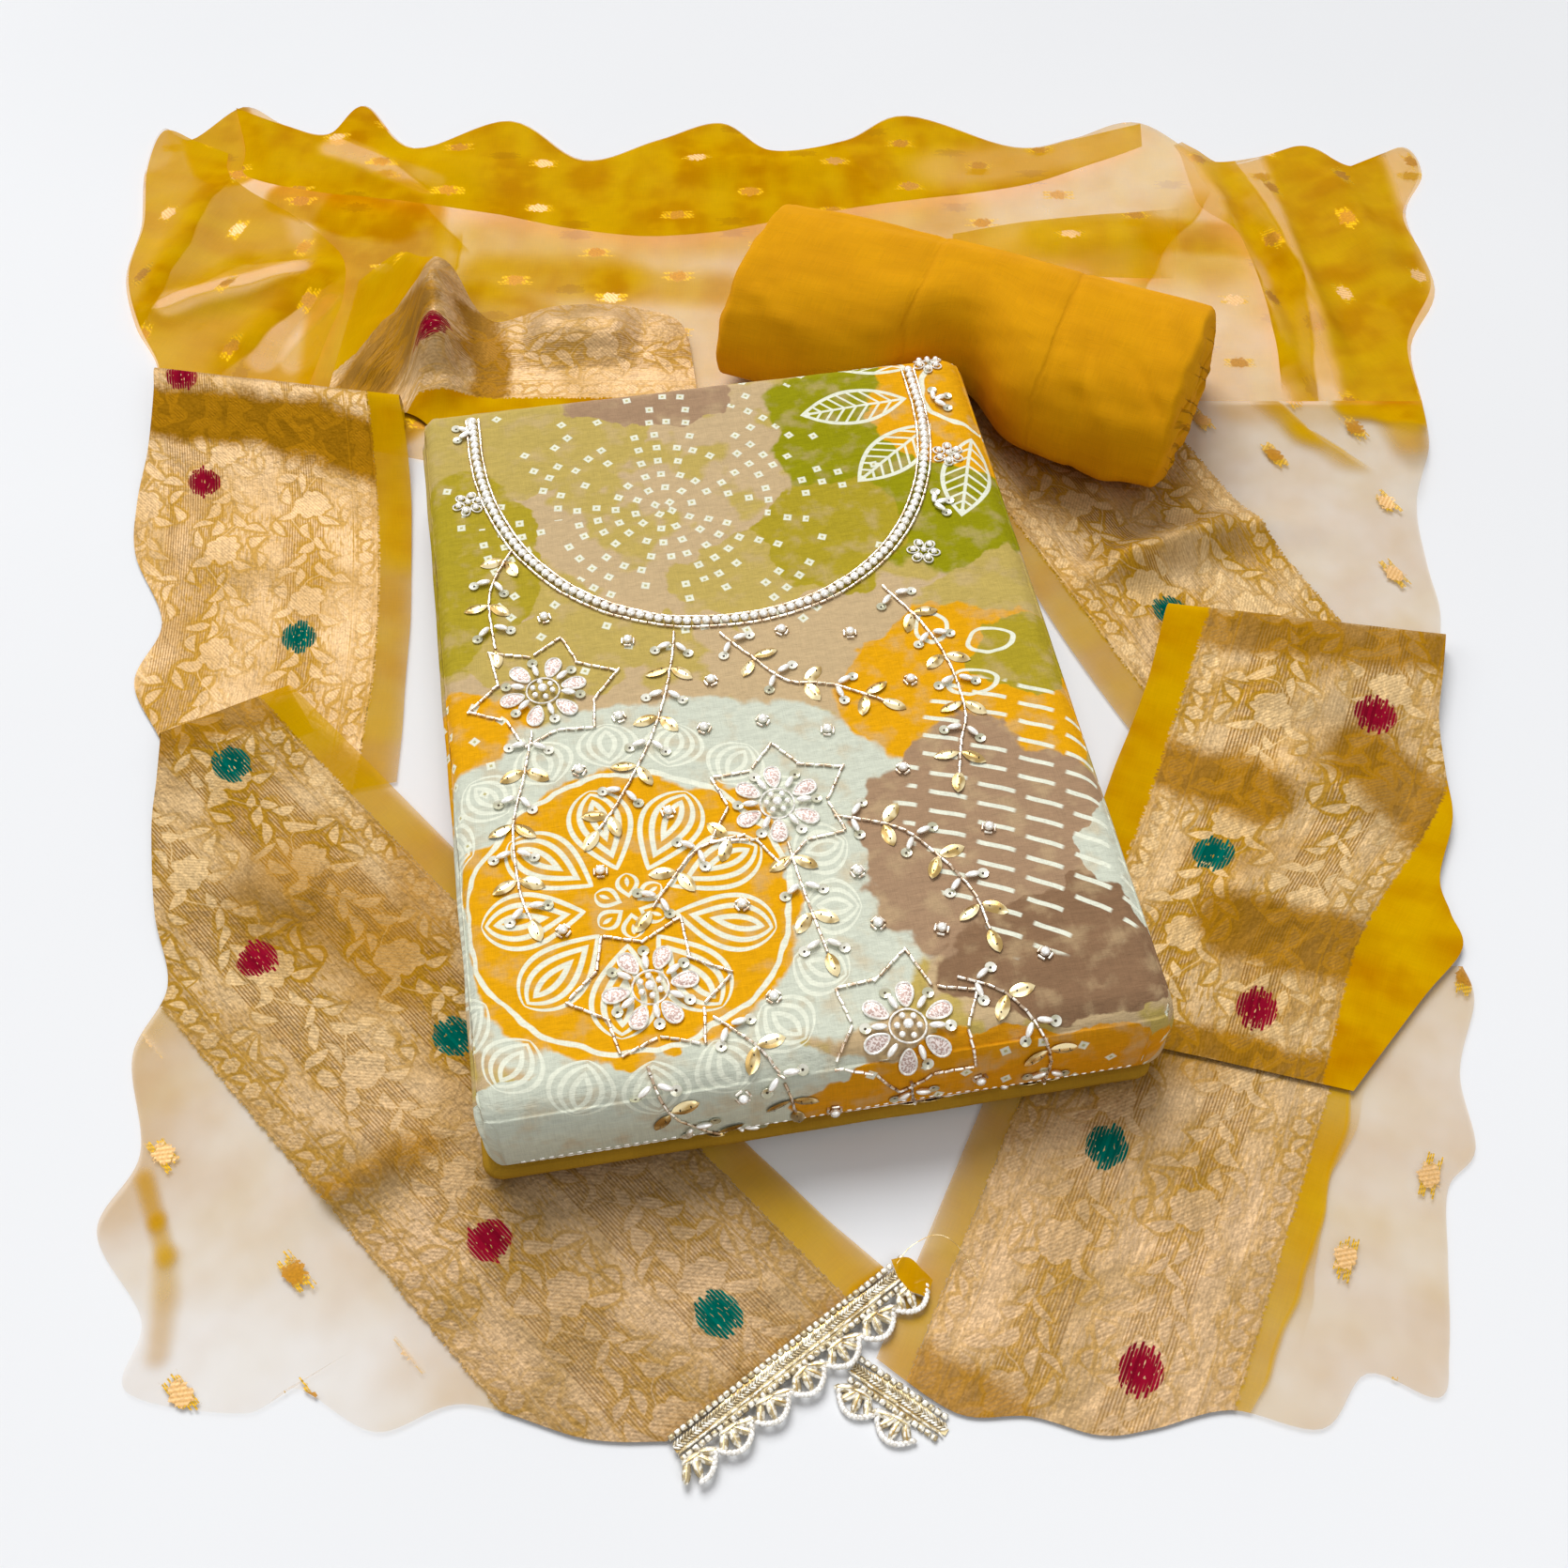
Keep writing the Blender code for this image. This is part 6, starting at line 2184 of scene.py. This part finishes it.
def link(length, width, height):
    bm = bmesh.new()
    bmesh.ops.create_cube(bm, size=1.0)
    bmesh.ops.scale(bm, vec=(length, width, height), verts=bm.verts)
    bmesh.ops.bevel(
        bm, geom=bm.edges, offset=0.35, offset_type="OFFSET", segments=1, profile=0.5,
        affect="EDGES", material=-1)
    bmesh.ops.translate(bm, vec=(0, 0, height / 2), verts=bm.verts)
    return bm


LINK = bead_stock("link", (link(2.2, 2.1, 1.2), LACE_THREAD))
STRAND = bead_stock("strand", (ball(2.7, 0.9, 0.8), LACE_THREAD))
TWIST = bead_stock("twist", (ball(3.0, 2.0, 1.9), CORD))
WOUND_LEAF = bead_stock(
    "wound_leaf", (ball(8.0, 3.2, 1.5), LACE_THREAD), (ball(6.4, 0.6, 0.6, 0.0, 1.2), GOLD_LEAF))
LACE_FLAT = bead_stock("lace_flat", (link(1.0, 1.0, 1.0), GOLD_LEAF))
print("a link has", len(LINK.polygons), "faces")


# %% Sew the lace
def sew_lace(name, lace, node):
    """Stamp the rows of one lace along its line, from the cut edge outwards."""
    length = hypot(lace.x1 - lace.x0, lace.y1 - lace.y0)
    ahead = ((lace.x1 - lace.x0) / length, (lace.y1 - lace.y0) / length)
    outward = (-ahead[1], ahead[0]) if ahead[0] < 0 else (ahead[1], -ahead[0])
    heading = atan2(ahead[1], ahead[0])
    hand = 1 if ahead[0] * outward[1] - ahead[1] * outward[0] > 0 else -1
    bm = bmesh.new()

    def put(stock, run, reach, turn, lift=0.0):
        x = lace.x0 + ahead[0] * run + outward[0] * (reach + lace.start)
        y = lace.y0 + ahead[1] * run + outward[1] * (reach + lace.start)
        place = Matrix.Translation(to_set(x, y, lace.top - 1.2 + lift))
        spin = Matrix.Rotation(heading + hand * radians(turn), 4, "Z")
        stamp(bm, stock, place @ spin @ Matrix.Scale(MM, 4))

    for step in range(int(length / LINK_EVERY)):
        run = (step + 0.5) * LINK_EVERY
        for shift, reach in LINK_ROWS:
            put(LINK, run + shift, reach, chance.uniform(-6, 6))
    for step in range(int(length / STRAND_EVERY)):
        run = (step + 0.5) * STRAND_EVERY
        for row in STRAND_ROWS:
            put(STRAND, run, row.reach, row.turn + chance.uniform(-row.stray, row.stray), row.lift)
    scallops = int(length / LACE_PITCH + 0.4)
    for step in range(int(min(length, scallops * LACE_PITCH) / TWIST_EVERY)):
        run = (step + 0.5) * TWIST_EVERY
        slope = atan2(scallop(run + 0.4) - scallop(run), 0.4) * 180 / pi
        put(TWIST, run, scallop(run), slope + 28)
    for step in range(scallops):
        middle = (step + 0.5) * LACE_PITCH
        for leaf in WOUND_LEAVES:
            turn = leaf.turn + chance.uniform(-9, 9)
            put(WOUND_LEAF, middle + leaf.run, LACE_BAND + leaf.beyond, turn, leaf.lift)
    base = Matrix.Diagonal((length, 7.6, 0.5, 1.0))
    middle = Matrix.Translation(to_set(
        lace.x0 + ahead[0] * length / 2 + outward[0] * (5.1 + lace.start),
        lace.y0 + ahead[1] * length / 2 + outward[1] * (5.1 + lace.start), lace.top - 1.3))
    turn = Matrix.Rotation(heading, 4, "Z")
    stamp(bm, LACE_FLAT, middle @ turn @ Matrix.Scale(MM, 4) @ base)
    finish_beads(bm, name, "silver_lace", node)


LACE_LEFT = LaceLine(53.0, -222.8, -26.0, -284.6, -2.0, 3.3)
LACE_RIGHT = LaceLine(37.0, -255.4, 67.5, -276.5, 0.3, 1.5)
sew_lace("lace_work_left", LACE_LEFT, "lace_left")
sew_lace("lace_work_right", LACE_RIGHT, "lace_right")

# %% [markdown]
# ## A loose thread
#
# Where a lace is cut, one of its fine metal threads springs out in a curl. It is a row of very
# thin short pieces along a smooth line, high enough to clear the lace.

# %% One loose thread at the lace's upper end
LOOSE_THREAD = ((50, -226), (55, -220), (64, -216), (71, -220), (77, -231))
THREAD_PIECE = bead_stock("thread_piece", (ball(2.0, 0.3, 0.3), GOLD_LEAF))
THREAD_LEVEL = 6.2
THREAD_EVERY = 0.9
bm = bmesh.new()
for x, y, heading in evenly(smooth_line(LOOSE_THREAD), THREAD_EVERY):
    place = Matrix.Translation(to_set(x, y, THREAD_LEVEL))
    lying = place @ Matrix.Rotation(radians(heading), 4, "Z")
    stamp(bm, THREAD_PIECE, lying @ Matrix.Scale(MM, 4))
finish_beads(bm, "loose_thread", "silver_lace")
